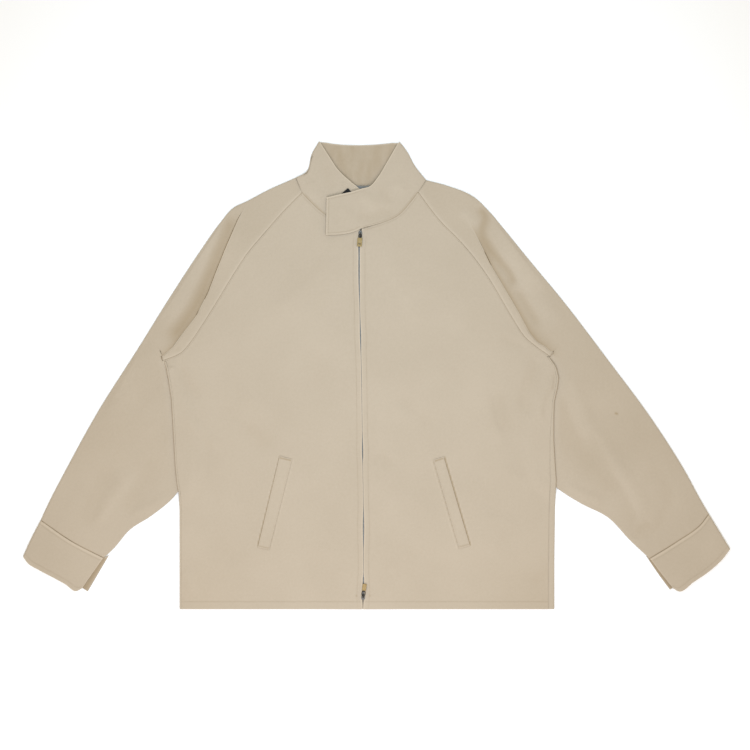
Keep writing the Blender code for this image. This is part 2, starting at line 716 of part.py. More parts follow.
def finish_solid(name, mesh_builder, finish, softened=0.15):
    bmesh.ops.recalc_face_normals(mesh_builder, faces=mesh_builder.faces)
    mesh = bpy.data.meshes.new(name)
    mesh_builder.to_mesh(mesh)
    mesh_builder.free()
    piece = add_object(name, mesh, finish)
    bevel = piece.modifiers.new("edges", "BEVEL")
    bevel.width = softened * MM
    bevel.segments = 1
    bevel.limit_method = "ANGLE"
    return piece


def make_tool(piece):
    """Leave a piece out of the jacket: it only shapes another one."""
    piece.hide_render = True
    piece.display_type = "WIRE"


def make_slider(name, middle):
    """Two plates joined by a neck that runs between the zip's rows, and a crown."""
    centre = zip_x(middle)
    half, neck, crown = SLIDER_WIDTH / 2, NECK_WIDTH / 2, CROWN_WIDTH / 2
    low_top = SLIDER_LOW + SLIDER_PLATE
    high_top = SLIDER_HIGH + SLIDER_PLATE
    body = bmesh.new()
    profile = [(-half, SLIDER_LOW), (half, SLIDER_LOW), (half, low_top), (neck, low_top),
               (neck, SLIDER_HIGH), (half, SLIDER_HIGH), (half, high_top), (-half, high_top),
               (-half, SLIDER_HIGH), (-neck, SLIDER_HIGH), (-neck, low_top), (-half, low_top)]
    prism(body, profile, middle - SLIDER_LENGTH / 2, middle + SLIDER_LENGTH / 2,
          lambda p, along: (centre + p[0], along, p[1]))
    piece = finish_solid(name, body, "dark_metal", 0.25)
    arch = bmesh.new()
    ends = CROWN_LENGTH / 2
    inner = ends - 1.0
    foot = high_top - 0.3
    roof = high_top + CROWN_HOLE
    shape = [(-ends, foot), (-inner, foot), (-inner, roof), (inner, roof), (inner, foot),
             (ends, foot), (ends, roof + 0.3), (ends - 0.6, roof + CROWN_BAR),
             (-ends + 0.6, roof + CROWN_BAR), (-ends, roof + 0.3)]
    prism(arch, shape, centre - crown, centre + crown,
          lambda p, along: (along, middle + p[0], p[1]))
    crown_piece = finish_solid(name + "_crown", arch, "dark_metal", 0.1)
    make_tool(crown_piece)
    union = piece.modifiers.new("crown", "BOOLEAN")
    union.operation = "UNION"
    union.object = crown_piece
    return piece


def make_pull(name, middle, way, plate):
    """A pull tab: a pin through the crown, two arms and a plate, lying flat.

    way is 1 where the plate points at the hem and -1 where it points at the collar.
    """
    plate_end, plate_width = plate
    centre = zip_x(middle)
    height = SLIDER_HIGH + SLIDER_PLATE + 0.3 + PIN / 2
    wide, pin, half = plate_width / 2, PIN / 2, PULL_WALL / 2
    start, corner = PLATE_START - 0.8, 1.0
    outline = [(-ARM_OUT, pin), (ARM_OUT, pin), (ARM_OUT, -start), (wide, -PLATE_START),
               (wide, -plate_end + corner), (wide - corner, -plate_end),
               (-wide + corner, -plate_end), (-wide, -plate_end + corner),
               (-wide, -PLATE_START), (-ARM_OUT, -start)]
    window = [(-ARM_IN, -pin), (-ARM_IN, -start), (ARM_IN, -start), (ARM_IN, -pin)]

    def lying(point, level):
        return centre + point[0], middle + way * point[1], level

    tab = bmesh.new()
    prism(tab, outline, height - half, height + half, lying)
    piece = finish_solid(name, tab, "brass", 0.15)
    hole = bmesh.new()
    prism(hole, window, height - 2 * half, height + 2 * half, lying)
    cutter = finish_solid(name + "_window", hole, "brass", 0.0)
    make_tool(cutter)
    cut = piece.modifiers.new("window", "BOOLEAN")
    cut.operation = "DIFFERENCE"
    cut.object = cutter
    axis = place((centre, middle, height))
    for part in (piece, cutter):
        part.data.transform(Matrix.Translation(-axis))
        part.location = axis
    return piece


# ------------------------------------------------------------ small flat pieces
PATCH_SIZE = 22.0
PATCH_APEX = (-47, 673)
PATCH_TURN = 40.0      # degrees from upright to a corner standing up
PATCH_WALL = 1.0
LABEL_SIZE = (40.0, 20.0)
LABEL_TOP = (-21, 676.5)
LABEL_WALL = 1.0


def make_plate(name, centre, size, turn, bottom, wall, finish):
    """A flat rectangle of cloth, turned about its middle."""
    angle = math.radians(turn)
    corners = []
    for x, y in ((-1, -1), (1, -1), (1, 1), (-1, 1)):
        across, along = x * size[0] / 2, y * size[1] / 2
        corners.append((across * math.cos(angle) - along * math.sin(angle),
                        across * math.sin(angle) + along * math.cos(angle)))
    plate = bmesh.new()
    prism(plate, corners, bottom, bottom + wall,
          lambda p, level: (centre[0] + p[0], centre[1] + p[1], level))
    return finish_solid(name, plate, finish, 0.2)


def make_patch():
    """Hook tape on the end of the collar that lies under the throat tab."""
    reach = PATCH_SIZE / math.sqrt(2) * math.cos(math.radians(45 - PATCH_TURN))
    centre = (PATCH_APEX[0] + 1.0, PATCH_APEX[1] - reach)
    collar_top = FRONT_TOP - CLOTH / 2 + COLLAR_WALL / 2
    return make_plate("collar_patch", centre, (PATCH_SIZE, PATCH_SIZE), PATCH_TURN,
                      collar_top + CLEAR, PATCH_WALL, "hook_tape")


def make_label():
    centre = (LABEL_TOP[0], LABEL_TOP[1] - LABEL_SIZE[1] / 2)
    return make_plate("neck_label", centre, LABEL_SIZE, 0.0, BACK_TOP + CLEAR, LABEL_WALL,
                      "label")


# ------------------------------------------------------------------------ build
def make_jacket():
    for old in list(bpy.data.objects):
        bpy.data.objects.remove(old)
    make_back()
    fronts = {}
    for key, side in SIDES.items():
        fronts[key] = make_front("front_" + key, side)
        make_sleeve("sleeve_" + key, side)
        make_cuff("cuff_" + key, side)
        make_pocket("pocket_welt_" + key, side, fronts[key])
        make_tape("zip_tape_" + key, side)
    make_collar()
    make_label()
    make_patch()
    make_slider("slider_top", TOP_SLIDER)
    make_slider("slider_foot", FOOT_SLIDER)
    make_pull("pull_top", TOP_SLIDER, 1, TOP_PLATE)
    make_pull("pull_foot", FOOT_SLIDER, -1, FOOT_PLATE)


make_jacket()
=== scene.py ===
"""The looks of a light cotton jacket, zipped up and laid flat on its back.

Places in the tables are millimetres of the real garment, as in the solids' source:
x across, to the viewer's right, and up, from the hem towards the collar.  The
wearer's right is the viewer's left.
"""

import math

import bmesh
import bpy
import numpy as np
from mathutils import Matrix, Vector, noise
from mathutils.bvhtree import BVHTree


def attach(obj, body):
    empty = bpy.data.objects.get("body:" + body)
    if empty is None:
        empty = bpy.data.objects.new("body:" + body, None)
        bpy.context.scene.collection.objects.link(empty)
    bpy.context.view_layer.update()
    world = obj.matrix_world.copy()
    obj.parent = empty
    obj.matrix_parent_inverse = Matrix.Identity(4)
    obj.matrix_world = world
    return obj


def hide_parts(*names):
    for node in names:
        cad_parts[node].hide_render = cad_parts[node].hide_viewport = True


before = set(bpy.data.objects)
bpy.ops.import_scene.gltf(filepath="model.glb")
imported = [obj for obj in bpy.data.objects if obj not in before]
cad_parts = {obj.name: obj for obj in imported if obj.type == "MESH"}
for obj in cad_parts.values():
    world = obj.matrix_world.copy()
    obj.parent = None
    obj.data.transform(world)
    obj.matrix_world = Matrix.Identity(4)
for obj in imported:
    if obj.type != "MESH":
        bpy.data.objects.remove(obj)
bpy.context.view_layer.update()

MM = 0.001
BODY = "jacket"

# ---------------------------------------------------------------- driving sizes, mm
HALF_HEIGHT = 374.3                # from the hem to the frame's origin
CLOTH, COLLAR_WALL, WELT_WALL, TAPE_WALL = 1.2, 1.8, 1.0, 1.0
SEAM, CLEAR = 0.32, 0.35           # gap at a seam; room between two layers
BODY_LAYER, SLEEVE_LAYER, COLLAR_LAYER, CUFF_LAYER = 2.2, 2.4, 3.0, 2.6
BODY_PUFF, SLEEVE_PUFF = 0.6, 0.7  # air between the layers
AIR_ACROSS, AIR_ALONG, AIR_SLANT, AIR_START = 47.0, 63.0, 95.0, 1.1
AIR_SIDE, AIR_HEM = 90.0, 50.0
SIDE_TOP = 380.0
CREASE_RISE = 2.3                  # how far the sleeve stands up at its tuck
TUCK_FOOT, TUCK_ROOM = 1.8, 6.0
TUCK_START, TUCK_GROWTH, TUCK_END = 2.3, 1.7, 0.6
NECK_CREASE, UNDERARM_CREASE = 0.85, 0.12
HIDDEN_MARGIN, LIFT_MARGIN, LIFT_RAMP = 4.0, 5.0, 24.0
FLY_RISE, FLY_FLAT, FLY_SLOPE = 1.9, 20.0, 55.0
NECK_RISE, NECK_SLOPE = 1.1, 60.0
UNDERARM_ROW, CHEST_LENGTH = 400.0, 320.0
RAGLAN_ROWS, ARM_ROWS = 9, 9       # rows of the solid sleeve, which the arm's places follow
SLEEVE_TOP = CLOTH / 2 + SLEEVE_LAYER
SLEEVE_LIFT = SLEEVE_TOP + CLOTH / 2 + CLEAR + 0.05

# ---------------------------------------------------------- outlines, (x, up), mm
ZIP_LINE = ((-21, 0), (-20, 51), (-20, 155), (-22, 286), (-23, 368), (-25, 446),
            (-27, 525), (-27, 579), (-24, 609))
BACK_COLLAR_TOP = ((-90, 748), (-66, 744), (-27, 742), (11, 744), (37, 747))
BACK_NECK = ((-122, 678), (72, 678))
TAB_TOP = ((-24, 672), (-40, 667), (-54, 664), (-79, 658))
TAB_FOOT = ((-23, 609), (-36, 603), (-58, 599), (-80, 598))

SIDES = {
    "right": {
        "name": "right",
        "sign": -1,
        "side": ((-314, 0), (-314, 78), (-314, 158), (-315, 184), (-318, 200), (-321, 229),
                 (-323, 266), (-325, 302), (-327, 336), (-332, 368), (-335, 384), (-339, 397)),
        "side_seam": ((0, 3), (397, 3)),
        "raglan": ((-341, 397), (-309, 412), (-298, 425), (-278, 454), (-259, 484),
                   (-234, 525), (-207, 567), (-176, 604), (-146, 638), (-118, 666)),
        "crease": ((-342, 403), (-325, 417), (-309, 439), (-288, 466), (-268, 505),
                   (-254, 542), (-239, 579), (-220, 623), (-203, 652)),
        "outer": ((-128, 690), (-173, 670), (-205, 653), (-229, 641), (-248, 619), (-280, 574),
                  (-322, 510), (-382, 414), (-443, 318), (-496, 222), (-524, 168), (-536, 142)),
        "outer_at_underarm": (0.49, 0.57),
        "inner": ((-341, 389), (-333, 367), (-314, 331), (-302, 286), (-299, 242), (-306, 206),
                  (-320, 184), (-359, 150), (-393, 128), (-420, 97), (-436, 82)),
        "neck": ((-118, 666), (-105, 652), (-81, 631), (-54, 616), (-26, 609)),
        "collar_top": ((-90, 748), (-76, 726), (-59, 701), (-42, 685), (-26, 672)),
        "collar_fold": ((-128, 690), (-111, 700), (-103, 727), (-91, 748)),
        "cuff_seam": ((-436, 82), (-488, 109), (-536, 142)),
        "cuff_edge": ((-470, 34), (-479, 29), (-497, 40), (-518, 51.5), (-537, 61.5),
                      (-557, 74), (-564, 84)),
        "cuff_outer": ((-536, 142), (-551, 113), (-564, 84)),
        "cuff_inner": ((-436, 82), (-453, 58), (-470, 34)),
        "cuff_underlap": ((9, 4), (9, -6)),
        "pocket": ((-189, 99), (-171, 95), (-134, 240), (-154, 245)),
    },
    "left": {
        "name": "left",
        "sign": 1,
        "side": ((285, 0), (285, 78), (286, 158), (287, 187), (288, 206), (286, 235), (284, 270),
                 (284, 306), (285, 333), (290, 354), (292, 370), (288, 387), (276, 404)),
        "side_seam": ((0, 9.5), (215, 9.5), (320, 3), (404, 3)),
        "raglan": ((278, 404), (256, 420), (239, 434), (222, 459), (202, 493), (183, 525),
                   (156, 563), (129, 594), (104, 619), (67, 667)),
        "crease": ((279, 410), (270, 419), (257, 426), (244, 442), (227, 474), (207, 508),
                   (185, 545), (166, 584), (150, 617), (134, 654)),
        "outer": ((80, 686), (114, 677), (158, 658), (179, 638), (206, 606), (245, 558),
                  (298, 494), (371, 398), (442, 302), (493, 222), (522, 169), (532, 152)),
        "outer_at_underarm": (0.48, 0.55),
        "inner": ((284, 395), (272, 371), (262, 334), (258, 286), (259, 242), (270, 211),
                  (291, 193), (329, 169), (370, 148), (407, 110), (438, 81)),
        "neck": ((67, 667), (55, 651), (34, 629), (9, 618), (-22, 609)),
        "collar_top": ((36, 747), (17, 714), (1, 688), (-10, 676), (-24, 672)),
        "collar_fold": ((80, 686), (62, 709), (50, 731), (38, 747)),
        "cuff_seam": ((438, 81), (480, 107), (521, 137), (532, 152)),
        "cuff_edge": ((475, 34), (484, 28.5), (508, 43.5), (534, 61.5), (553, 79), (566, 96)),
        "cuff_outer": ((532, 152), (549, 124), (566, 96)),
        "cuff_inner": ((438, 81), (456, 57), (475, 34)),
        "cuff_underlap": ((-6, 4), (-5, -3)),
        "pocket": ((133, 97), (150, 102), (108, 244), (92, 239)),
    },
}

# ------------------------------------------------------------------------ creases
# Each crease: its line, its height (a trough is negative), how far it spreads to its
# left and to its right as it is drawn, and how far in from its ends it fades, all mm.
FRONT_CREASES = {
    "right": (
        (((-318, 396), (-308, 378), (-292, 352), (-276, 338)), -1.0, 5, 12, 22),
        (((-337, 398), (-332, 391), (-325, 386)), -1.4, 2.2, 3.0, 4),
        (((-331, 389), (-322, 384)), 1.0, 2.2, 3.0, 4),
        (((-258, 334), (-206, 296), (-154, 259)), -0.7, 12, 18, 34),
        (((-318, 318), (-284, 286), (-258, 262), (-236, 250)), 0.7, 12, 7, 30),
        (((-214, 306), (-186, 276), (-158, 256)), -0.9, 7, 13, 24),
        (((-226, 362), (-196, 330), (-170, 300)), 0.7, 14, 8, 30),
        (((-108, 232), (-100, 214), (-96, 190)), 0.6, 5, 9, 16),
        (((-62, 560), (-104, 520), (-150, 486), (-190, 470)), 0.8, 22, 14, 40),
        (((-120, 430), (-90, 392), (-48, 372)), -0.6, 14, 22, 34),
        (((-306, 70), (-296, 44), (-290, 18)), 0.9, 6, 10, 16),
        (((-262, 196), (-236, 170), (-212, 150)), 0.5, 16, 10, 26),
        (((-118, 128), (-92, 98), (-60, 82)), 0.5, 12, 18, 26),
        (((-280, 120), (-240, 96), (-214, 60)), -0.5, 18, 12, 30),
        (((-60, 250), (-78, 214), (-70, 172)), 0.5, 9, 13, 24),
    ),
    "left": (
        (((262, 404), (250, 372), (236, 340), (248, 306)), -1.3, 12, 6, 24),
        (((286, 372), (272, 348), (262, 322), (266, 296)), 0.9, 5, 9, 20),
        (((289, 386), (290, 362), (287, 344)), 0.9, 1.8, 2.4, 6),
        (((287, 381), (286, 360), (284, 348)), -1.4, 2.0, 2.6, 6),
        (((257, 403), (248, 378), (240, 358)), -1.0, 4, 7, 12),
        (((30, 334), (56, 312), (78, 294)), 0.7, 7, 11, 18),
        (((190, 310), (200, 297), (206, 286)), -0.7, 5, 8, 10),
        (((196, 358), (206, 310), (224, 276)), -1.1, 9, 16, 30),
        (((166, 360), (182, 318), (196, 282), (196, 250)), 0.8, 10, 16, 34),
        (((196, 440), (226, 424), (244, 414)), -0.7, 5, 10, 18),
        (((30, 344), (66, 306), (104, 296)), -0.9, 14, 8, 28),
        (((-10, 234), (8, 246), (30, 226)), -0.8, 5, 9, 14),
        (((16, 560), (44, 512), (62, 470), (100, 448)), 0.9, 24, 14, 44),
        (((156, 150), (196, 142), (232, 134)), 0.6, 8, 12, 24),
        (((246, 36), (268, 56), (282, 76)), -0.9, 6, 10, 18),
        (((40, 196), (70, 164), (92, 128)), 0.5, 14, 10, 30),
        (((190, 236), (232, 206), (266, 202)), 0.6, 10, 14, 30),
        (((40, 110), (90, 76), (150, 62)), -0.5, 16, 12, 36),
    ),
}
SLEEVE_CREASES = {
    "right": (
        (((-222, 636), (-244, 590), (-265, 540), (-288, 488), (-308, 458), (-336, 422)),
         -1.8, 5, 13, 30),
        (((-236, 636), (-262, 596), (-290, 540), (-318, 490), (-346, 446)), 0.9, 14, 22, 46),
        (((-322, 417), (-307, 412)), -1.2, 3, 4, 6),
        (((-331, 408), (-319, 407)), 1.0, 3, 3, 5),
        (((-343, 401), (-332, 393)), -1.2, 2.4, 3.5, 4),
        (((-372, 420), (-392, 372), (-416, 330), (-446, 286)), 0.9, 20, 24, 50),
        (((-418, 232), (-442, 190), (-458, 150), (-470, 128)), -1.1, 10, 16, 26),
        (((-386, 224), (-426, 170), (-450, 130)), 1.2, 8, 14, 24),
        (((-352, 254), (-362, 214), (-384, 180), (-410, 148)), -1.0, 12, 16, 26),
        (((-330, 184), (-366, 160), (-398, 152)), 0.9, 8, 10, 18),
        (((-340, 360), (-356, 310), (-352, 262)), 0.8, 14, 22, 32),
    ),
    "left": (
        (((160, 645), (173, 630), (169, 602), (182, 576), (198, 556), (212, 540), (224, 512)),
         -1.9, 9, 6, 16),
        (((223, 522), (235, 497), (249, 474), (266, 446)), -1.0, 10, 6, 24),
        (((132, 640), (152, 622), (162, 606)), 0.9, 10, 7, 14),
        (((188, 628), (214, 590), (240, 546), (270, 500)), 0.8, 14, 18, 36),
        (((196, 600), (226, 548), (262, 490), (300, 440)), 0.9, 16, 20, 50),
        (((290, 352), (306, 296), (338, 238), (390, 176)), -1.5, 14, 18, 34),
        (((302, 392), (326, 320), (366, 252), (412, 190), (440, 140)), 1.3, 14, 18, 44),
        (((340, 286), (376, 220), (408, 160), (414, 118)), -1.2, 9, 13, 30),
        (((414, 112), (420, 126), (440, 140)), -2.0, 5, 7, 8),
        (((466, 166), (452, 136), (424, 114)), -1.0, 7, 9, 14),
        (((438, 236), (462, 196), (470, 150)), -0.9, 12, 16, 26),
        (((300, 204), (330, 184), (366, 168)), 0.9, 8, 8, 16),
    ),
}
COLLAR_CREASES = (
    (((-30, 664), (-12, 652), (6, 640)), 1.1, 10, 8, 12),
    (((-34, 634), (-12, 626), (14, 634), (34, 630)), -1.0, 8, 7, 14),
    (((-66, 646), (-48, 632), (-40, 612)), 0.6, 8, 12, 12),
    (((22, 684), (40, 672), (52, 660)), 0.9, 9, 8, 12),
    (((4, 676), (18, 662), (24, 646)), -0.7, 6, 8, 12),
    (((-104, 690), (-98, 668), (-88, 650)), 0.8, 7, 9, 12),
    (((-84, 716), (-74, 690), (-66, 668)), -0.6, 8, 9, 14),
)

# Stretches of the zip that show between the fronts, as (height, half gap), mm.
FLY_OPENING = ((0, 0.4), (7, 0.5), (12, 1.0), (16, 1.5), (30, 1.6), (44, 1.0), (50, 0.95),
               (56, 0.3), (96, 0.35), (108, 0.8), (132, 1.1), (150, 0.8), (166, 0.3),
               (232, 0.3), (244, 0.85), (256, 1.0), (268, 0.7), (284, 0.3), (408, 0.35),
               (424, 0.8), (438, 0.9), (452, 0.7), (470, 0.35), (492, 0.5), (506, 0.8),
               (540, 1.1), (568, 1.0), (588, 1.6), (609, 1.6))



# -------------------------------------------------------------------- small maths
def smooth(value):
    value = np.clip(value, 0.0, 1.0)
    return value * value * (3.0 - 2.0 * value)


def lerp(start, end, share):
    return np.asarray(start, float) * (1.0 - share) + np.asarray(end, float) * share


def unit(ways):
    """The same ways, each one long."""
    return ways / np.linalg.norm(ways, axis=-1, keepdims=True)


def lengths_along(points):
    """The way along a line to each of its points."""
    steps = np.linalg.norm(np.diff(points, axis=0, prepend=points[:1]), axis=-1)
    return np.cumsum(steps, axis=0)


def round_places(count, wide, thick):
    """Places round an oval, the last on the first."""
    angles = np.linspace(0, 2 * np.pi, count)
    return [(wide * math.cos(angle), thick * math.sin(angle)) for angle in angles]


def curve(points):
    """A smooth curve through points; takes one share of its length, or many."""
    points = np.array(points, float)
    knots = lengths_along(points)
    slopes = np.gradient(points, knots, axis=0)

    def at(share):
        length = np.clip(np.asarray(share, float), 0.0, 1.0) * knots[-1]
        span = np.clip(np.searchsorted(knots, length, side="right") - 1, 0, len(points) - 2)
        width = knots[span + 1] - knots[span]
        s = ((length - knots[span]) / width)[..., None]
        width = width[..., None]
        near = (1 + 2 * s) * (1 - s) ** 2 * points[span] + s * (1 - s) ** 2 * width * slopes[span]
        far = s * s * (3 - 2 * s) * points[span + 1] + s * s * (s - 1) * width * slopes[span + 1]
        return near + far

    return at


def sampled(points, count=60):
    return curve(points)(np.linspace(0.0, 1.0, count))


def at_height(points, height):
    """The x of an outline that runs upwards."""
    return np.interp(height, [p[1] for p in points], [p[0] for p in points])


def zip_x(height):
    return at_height(ZIP_LINE, height)


def nearest(line, x, up):
    """Signed distance from a line (positive to its left), the way along it, its length."""
    line = np.asarray(line, float)
    steps = np.diff(line, axis=0)
    lengths = np.linalg.norm(steps, axis=1)
    starts = lengths_along(line)
    offset = np.stack((x, up), -1)[..., None, :] - line[:-1]
    share = np.clip((offset * steps).sum(-1) / lengths ** 2, 0.0, 1.0)
    gap = offset - share[..., None] * steps
    distance = np.linalg.norm(gap, axis=-1)
    best = np.argmin(distance, axis=-1)[..., None]
    side = np.sign(steps[:, 0] * offset[..., 1] - steps[:, 1] * offset[..., 0])
    distance = np.take_along_axis(distance * side, best, -1)[..., 0]
    along = np.take_along_axis(starts[:-1] + share * lengths, best, -1)[..., 0]
    return distance, along, starts[-1]


FOLD_SCALE, FOLD_DEPTH = 1.6, 0.9      # folds stand up freely; troughs stop at the layer below


def crease_heights(creases, x, up):
    """Heights of the folds, with painted shade in their troughs and a painted highlight on their
    ridges.
    """
    total = np.zeros_like(x)
    for points, height, left, right, fade in creases:
        distance, along, length = nearest(sampled(points, 24), x, up)
        spread = np.where(distance > 0, left, right)
        ends = smooth(along / fade) * smooth((length - along) / fade)
        total += FOLD_SCALE * height * ends * np.exp(-((distance / spread) ** 2))
    fold, trough = np.maximum(total, 0.0), np.minimum(total, 0.0)
    depth = FOLD_DEPTH * np.tanh(trough / FOLD_DEPTH)
    # painted shade in the troughs, painted highlight on the ridges
    return fold + depth, 0.20 * trough + 0.10 * fold


def rumple(x, up, size, seed, octaves=3):
    """Even unevenness of cloth that has been worn and pressed, about -1 to 1."""
    flat = zip(np.ravel(x) / size, np.ravel(up) / size)
    values = [noise.fractal(Vector((a, b, seed)), 1.0, 2.0, octaves) for a, b in flat]
    return np.array(values).reshape(np.shape(x))


def bump_at(distance, width):
    return np.exp(-((distance / width) ** 2))


# ------------------------------------------------------------------------ heights
def hidden_edge(side):
    points = curve(side["inner"])(np.arange(40) / 60)
    beyond = side["sign"] * (at_height(side["side"], points[:, 1]) - points[:, 0])
    return points[beyond > -HIDDEN_MARGIN]


def lift(side, x, up):
    edge = hidden_edge(side)
    distance = np.abs(nearest(edge, x, up)[0])
    inner = np.interp(up, edge[::-1, 1], edge[::-1, 0])
    inside = (up >= edge[:, 1].min()) & (up <= edge[:, 1].max())
    inside &= side["sign"] * (x - inner) >= 0
    distance = np.where(inside, 0.0, distance)
    return SLEEVE_LIFT * smooth(1.0 - np.maximum(0.0, distance - LIFT_MARGIN) / LIFT_RAMP)


def back_height(side, x, up):
    return CLOTH / 2 + lift(side, x, up)


def front_height(side, x, up):
    """Middle of a front's wall, as in the solids."""
    x, up = np.asarray(x, float), np.asarray(up, float)
    fly = FLY_RISE * smooth(1.0 - (np.abs(x - zip_x(up)) - FLY_FLAT) / FLY_SLOPE)
    from_neck = np.abs(nearest(sampled(side["neck"], 12), x, up)[0])
    neck_rise = NECK_RISE * smooth(1.0 - from_neck / NECK_SLOPE)
    from_side = np.abs(x - at_height(side["side"], np.minimum(up, SIDE_TOP)))
    swell = np.sin(x / AIR_ACROSS + AIR_START) * np.sin(up / AIR_ALONG + x / AIR_SLANT)
    air = BODY_PUFF * smooth(from_side / AIR_SIDE) * smooth(up / AIR_HEM) * (0.5 + 0.5 * swell)
    air = air * (1 - fly / FLY_RISE)
    return back_height(side, x, up) + BODY_LAYER + np.maximum(fly, neck_rise) + air


# ----------------------------------------------------------------- making a sheet
EDGE_STEPS = (0.0, 0.35, 0.8, 1.4, 2.1, 2.9, 4.0, 5.6)   # close columns beside a seam


def spaced(length, step, start=EDGE_STEPS, end=EDGE_STEPS):
    """Shares of a length: even steps, with close ones beside both ends."""
    inner_from, inner_to = start[-1], length - end[-1]
    count = max(2, round((inner_to - inner_from) / step))
    inner = np.linspace(inner_from, inner_to, count + 1)
    places = np.concatenate((start[:-1], inner, length - np.array(end[:-1])[::-1]))
    return places / length


def place(point):
    return Vector((point[0], point[1] - HALF_HEIGHT, point[2])) * MM


def pull_in(points, gap=SEAM / 2):
    """Move the edge points inwards, to leave the seam's gap."""
    moved = points.copy()
    every = slice(None)
    for edge, inner in (((every, 0), (every, 1)), ((every, -1), (every, -2)),
                        ((0, every), (1, every)), ((-1, every), (-2, every))):
        moved[edge] += unit(points[inner] - points[edge]) * gap
    return moved


def at_level(flat, high):
    """Places, flat or across, with one height added."""
    return np.column_stack((flat, np.full(len(flat), high)))


def cut_places(points, column):
    """Where each point lies in the flat cut: along its row, and along one column."""
    across = lengths_along(points.swapaxes(0, 1)).T
    across = across - across[:, column:column + 1]
    along = lengths_along(points[:, column])[:, None]
    return np.stack(np.broadcast_arrays(across, along), -1) * MM


TREES = {}        # the form of each fine piece, on which the stitches are laid


def finish_mesh(builder, name, soft=False):
    for face in builder.faces:
        face.smooth = soft
    mesh = bpy.data.meshes.new(name)
    builder.to_mesh(mesh)
    builder.free()
    return mesh


def flat_grid(builder, rows, columns):
    """Lay a grid of faces, and give the row and column of each of its corners."""
    made = bmesh.ops.create_grid(builder, x_segments=columns - 1, y_segments=rows - 1, size=1.0)
    return {vertex: (round((vertex.co.y + 1) / 2 * (rows - 1)),
                     round((vertex.co.x + 1) / 2 * (columns - 1))) for vertex in made["verts"]}


def grid_mesh(name, grids):
    """One mesh from grids of points, each laid on a flat grid of faces, and welded.

    Each grid has its points, their places in the flat cut, and its painted light and marks: above 0
    a painted highlight, below 0 painted shade and a few darker marks.
    """
    builder = bmesh.new()
    layer = builder.loops.layers.uv.new("cut")
    worn_and_painted_light = builder.verts.layers.float.new("painted_light_and_marks")
    for points, cut, painted_light_and_marks in grids:
        spots = flat_grid(builder, *points.shape[:2])
        for vertex, spot in spots.items():
            vertex.co = place(points[spot])
            vertex[worn_and_painted_light] = painted_light_and_marks[spot]
        for face in {face for vertex in spots for face in vertex.link_faces}:
            for loop in face.loops:
                loop[layer].uv = cut[spots[loop.vert]]
    bmesh.ops.remove_doubles(builder, verts=builder.verts, dist=0.02 * MM)
    bmesh.ops.recalc_face_normals(builder, faces=builder.faces)
    TREES[name] = BVHTree.FromBMesh(builder)
    return finish_mesh(builder, name + "_fine", soft=True)


def plain(points):
    """A grid whose cut is as it lies, with no painted light and no marks."""
    return points, points[..., :2] * MM, np.zeros(points.shape[:2])


def add_object(name, data):
    made = bpy.data.objects.new(name, data)
    bpy.context.scene.collection.objects.link(made)
    return made


def add_piece(name, mesh, material, body=BODY):
    piece = add_object(name, mesh)
    mesh.materials.append(MATERIALS[material])
    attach(piece, body)
    return piece


def give_wall(piece, thickness, edge=0.0):
    """A wall about a thin sheet, with rounded edges where a width is given."""
    wall = piece.modifiers.new("wall", "SOLIDIFY")
    wall.thickness = thickness * MM
    wall.offset = 0.0
    if edge:
        bevel = piece.modifiers.new("edge", "BEVEL")
        bevel.width = edge * MM
        bevel.segments = 2


def cloth_piece(name, grids, wall=CLOTH):
    """A fine cloth wall on the form of its solid, which it stands for."""
    piece = add_piece(name + "_cloth", grid_mesh(name, grids), "cotton")
    give_wall(piece, wall)
    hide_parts(name)


# ---------------------------------------------------------------------- materials
def feed(tree, sockets, values):
    """Set inputs, each to a value or to what another node puts out."""
    for key, value in values.items():
        if isinstance(value, bpy.types.NodeSocket):
            tree.links.new(value, sockets[key])
        else:
            sockets[key].default_value = value


def node(tree, kind, inputs, **settings):
    """Add a node, and give its outputs."""
    made = tree.nodes.new("ShaderNode" + kind)
    for key, value in settings.items():
        setattr(made, key, value)
    feed(tree, made.inputs, inputs)
    return made.outputs


def maths(tree, operation, *values):
    return node(tree, "Math", dict(enumerate(values)), operation=operation)[0]


def mix(tree, first, second, factor, **settings):
    return node(tree, "Mix", {"A": first, "B": second, "Factor": factor},
                data_type="RGBA", **settings)["Result"]


def group(name, inputs, outputs):
    """A node group: its tree, what it is given and the sockets it puts out to."""
    tree = bpy.data.node_groups.new(name, "ShaderNodeTree")
    for label, (kind, value) in inputs.items():
        socket = tree.interface.new_socket(label, in_out="INPUT", socket_type="NodeSocket" + kind)
        if value is not None:
            socket.default_value = value
    for label, kind in outputs.items():
        tree.interface.new_socket(label, in_out="OUTPUT", socket_type="NodeSocket" + kind)
    given, put_out = tree.nodes.new("NodeGroupInput"), tree.nodes.new("NodeGroupOutput")
    return tree, given.outputs, put_out.inputs


def weave_group():
    """Fine twill: rows of slanted threads, from places in the flat cut, in metres."""
    tree, given, put_out = group("twill weave", {"Cut": ("Vector", None),
                                                 "Threads per metre": ("Float", 2200.0)},
                                 {"Height": "Float", "Gap": "Float"})
    split = node(tree, "SeparateXYZ", {0: given["Cut"]})
    warp, weft = (maths(tree, "MULTIPLY", split[way], given["Threads per metre"]) for way in "XY")
    slant = maths(tree, "MULTIPLY", maths(tree, "ADD", warp, weft), math.pi)
    cross = maths(tree, "MULTIPLY", maths(tree, "SUBTRACT", warp, weft), 2 * math.pi)
    slope = maths(tree, "ABSOLUTE", maths(tree, "SINE", slant))
    under = maths(tree, "MULTIPLY", maths(tree, "SINE", cross), 0.25)
    feed(tree, put_out, {"Height": maths(tree, "ADD", slope, under),
                         "Gap": maths(tree, "SUBTRACT", 1.0, slope)})
    return tree


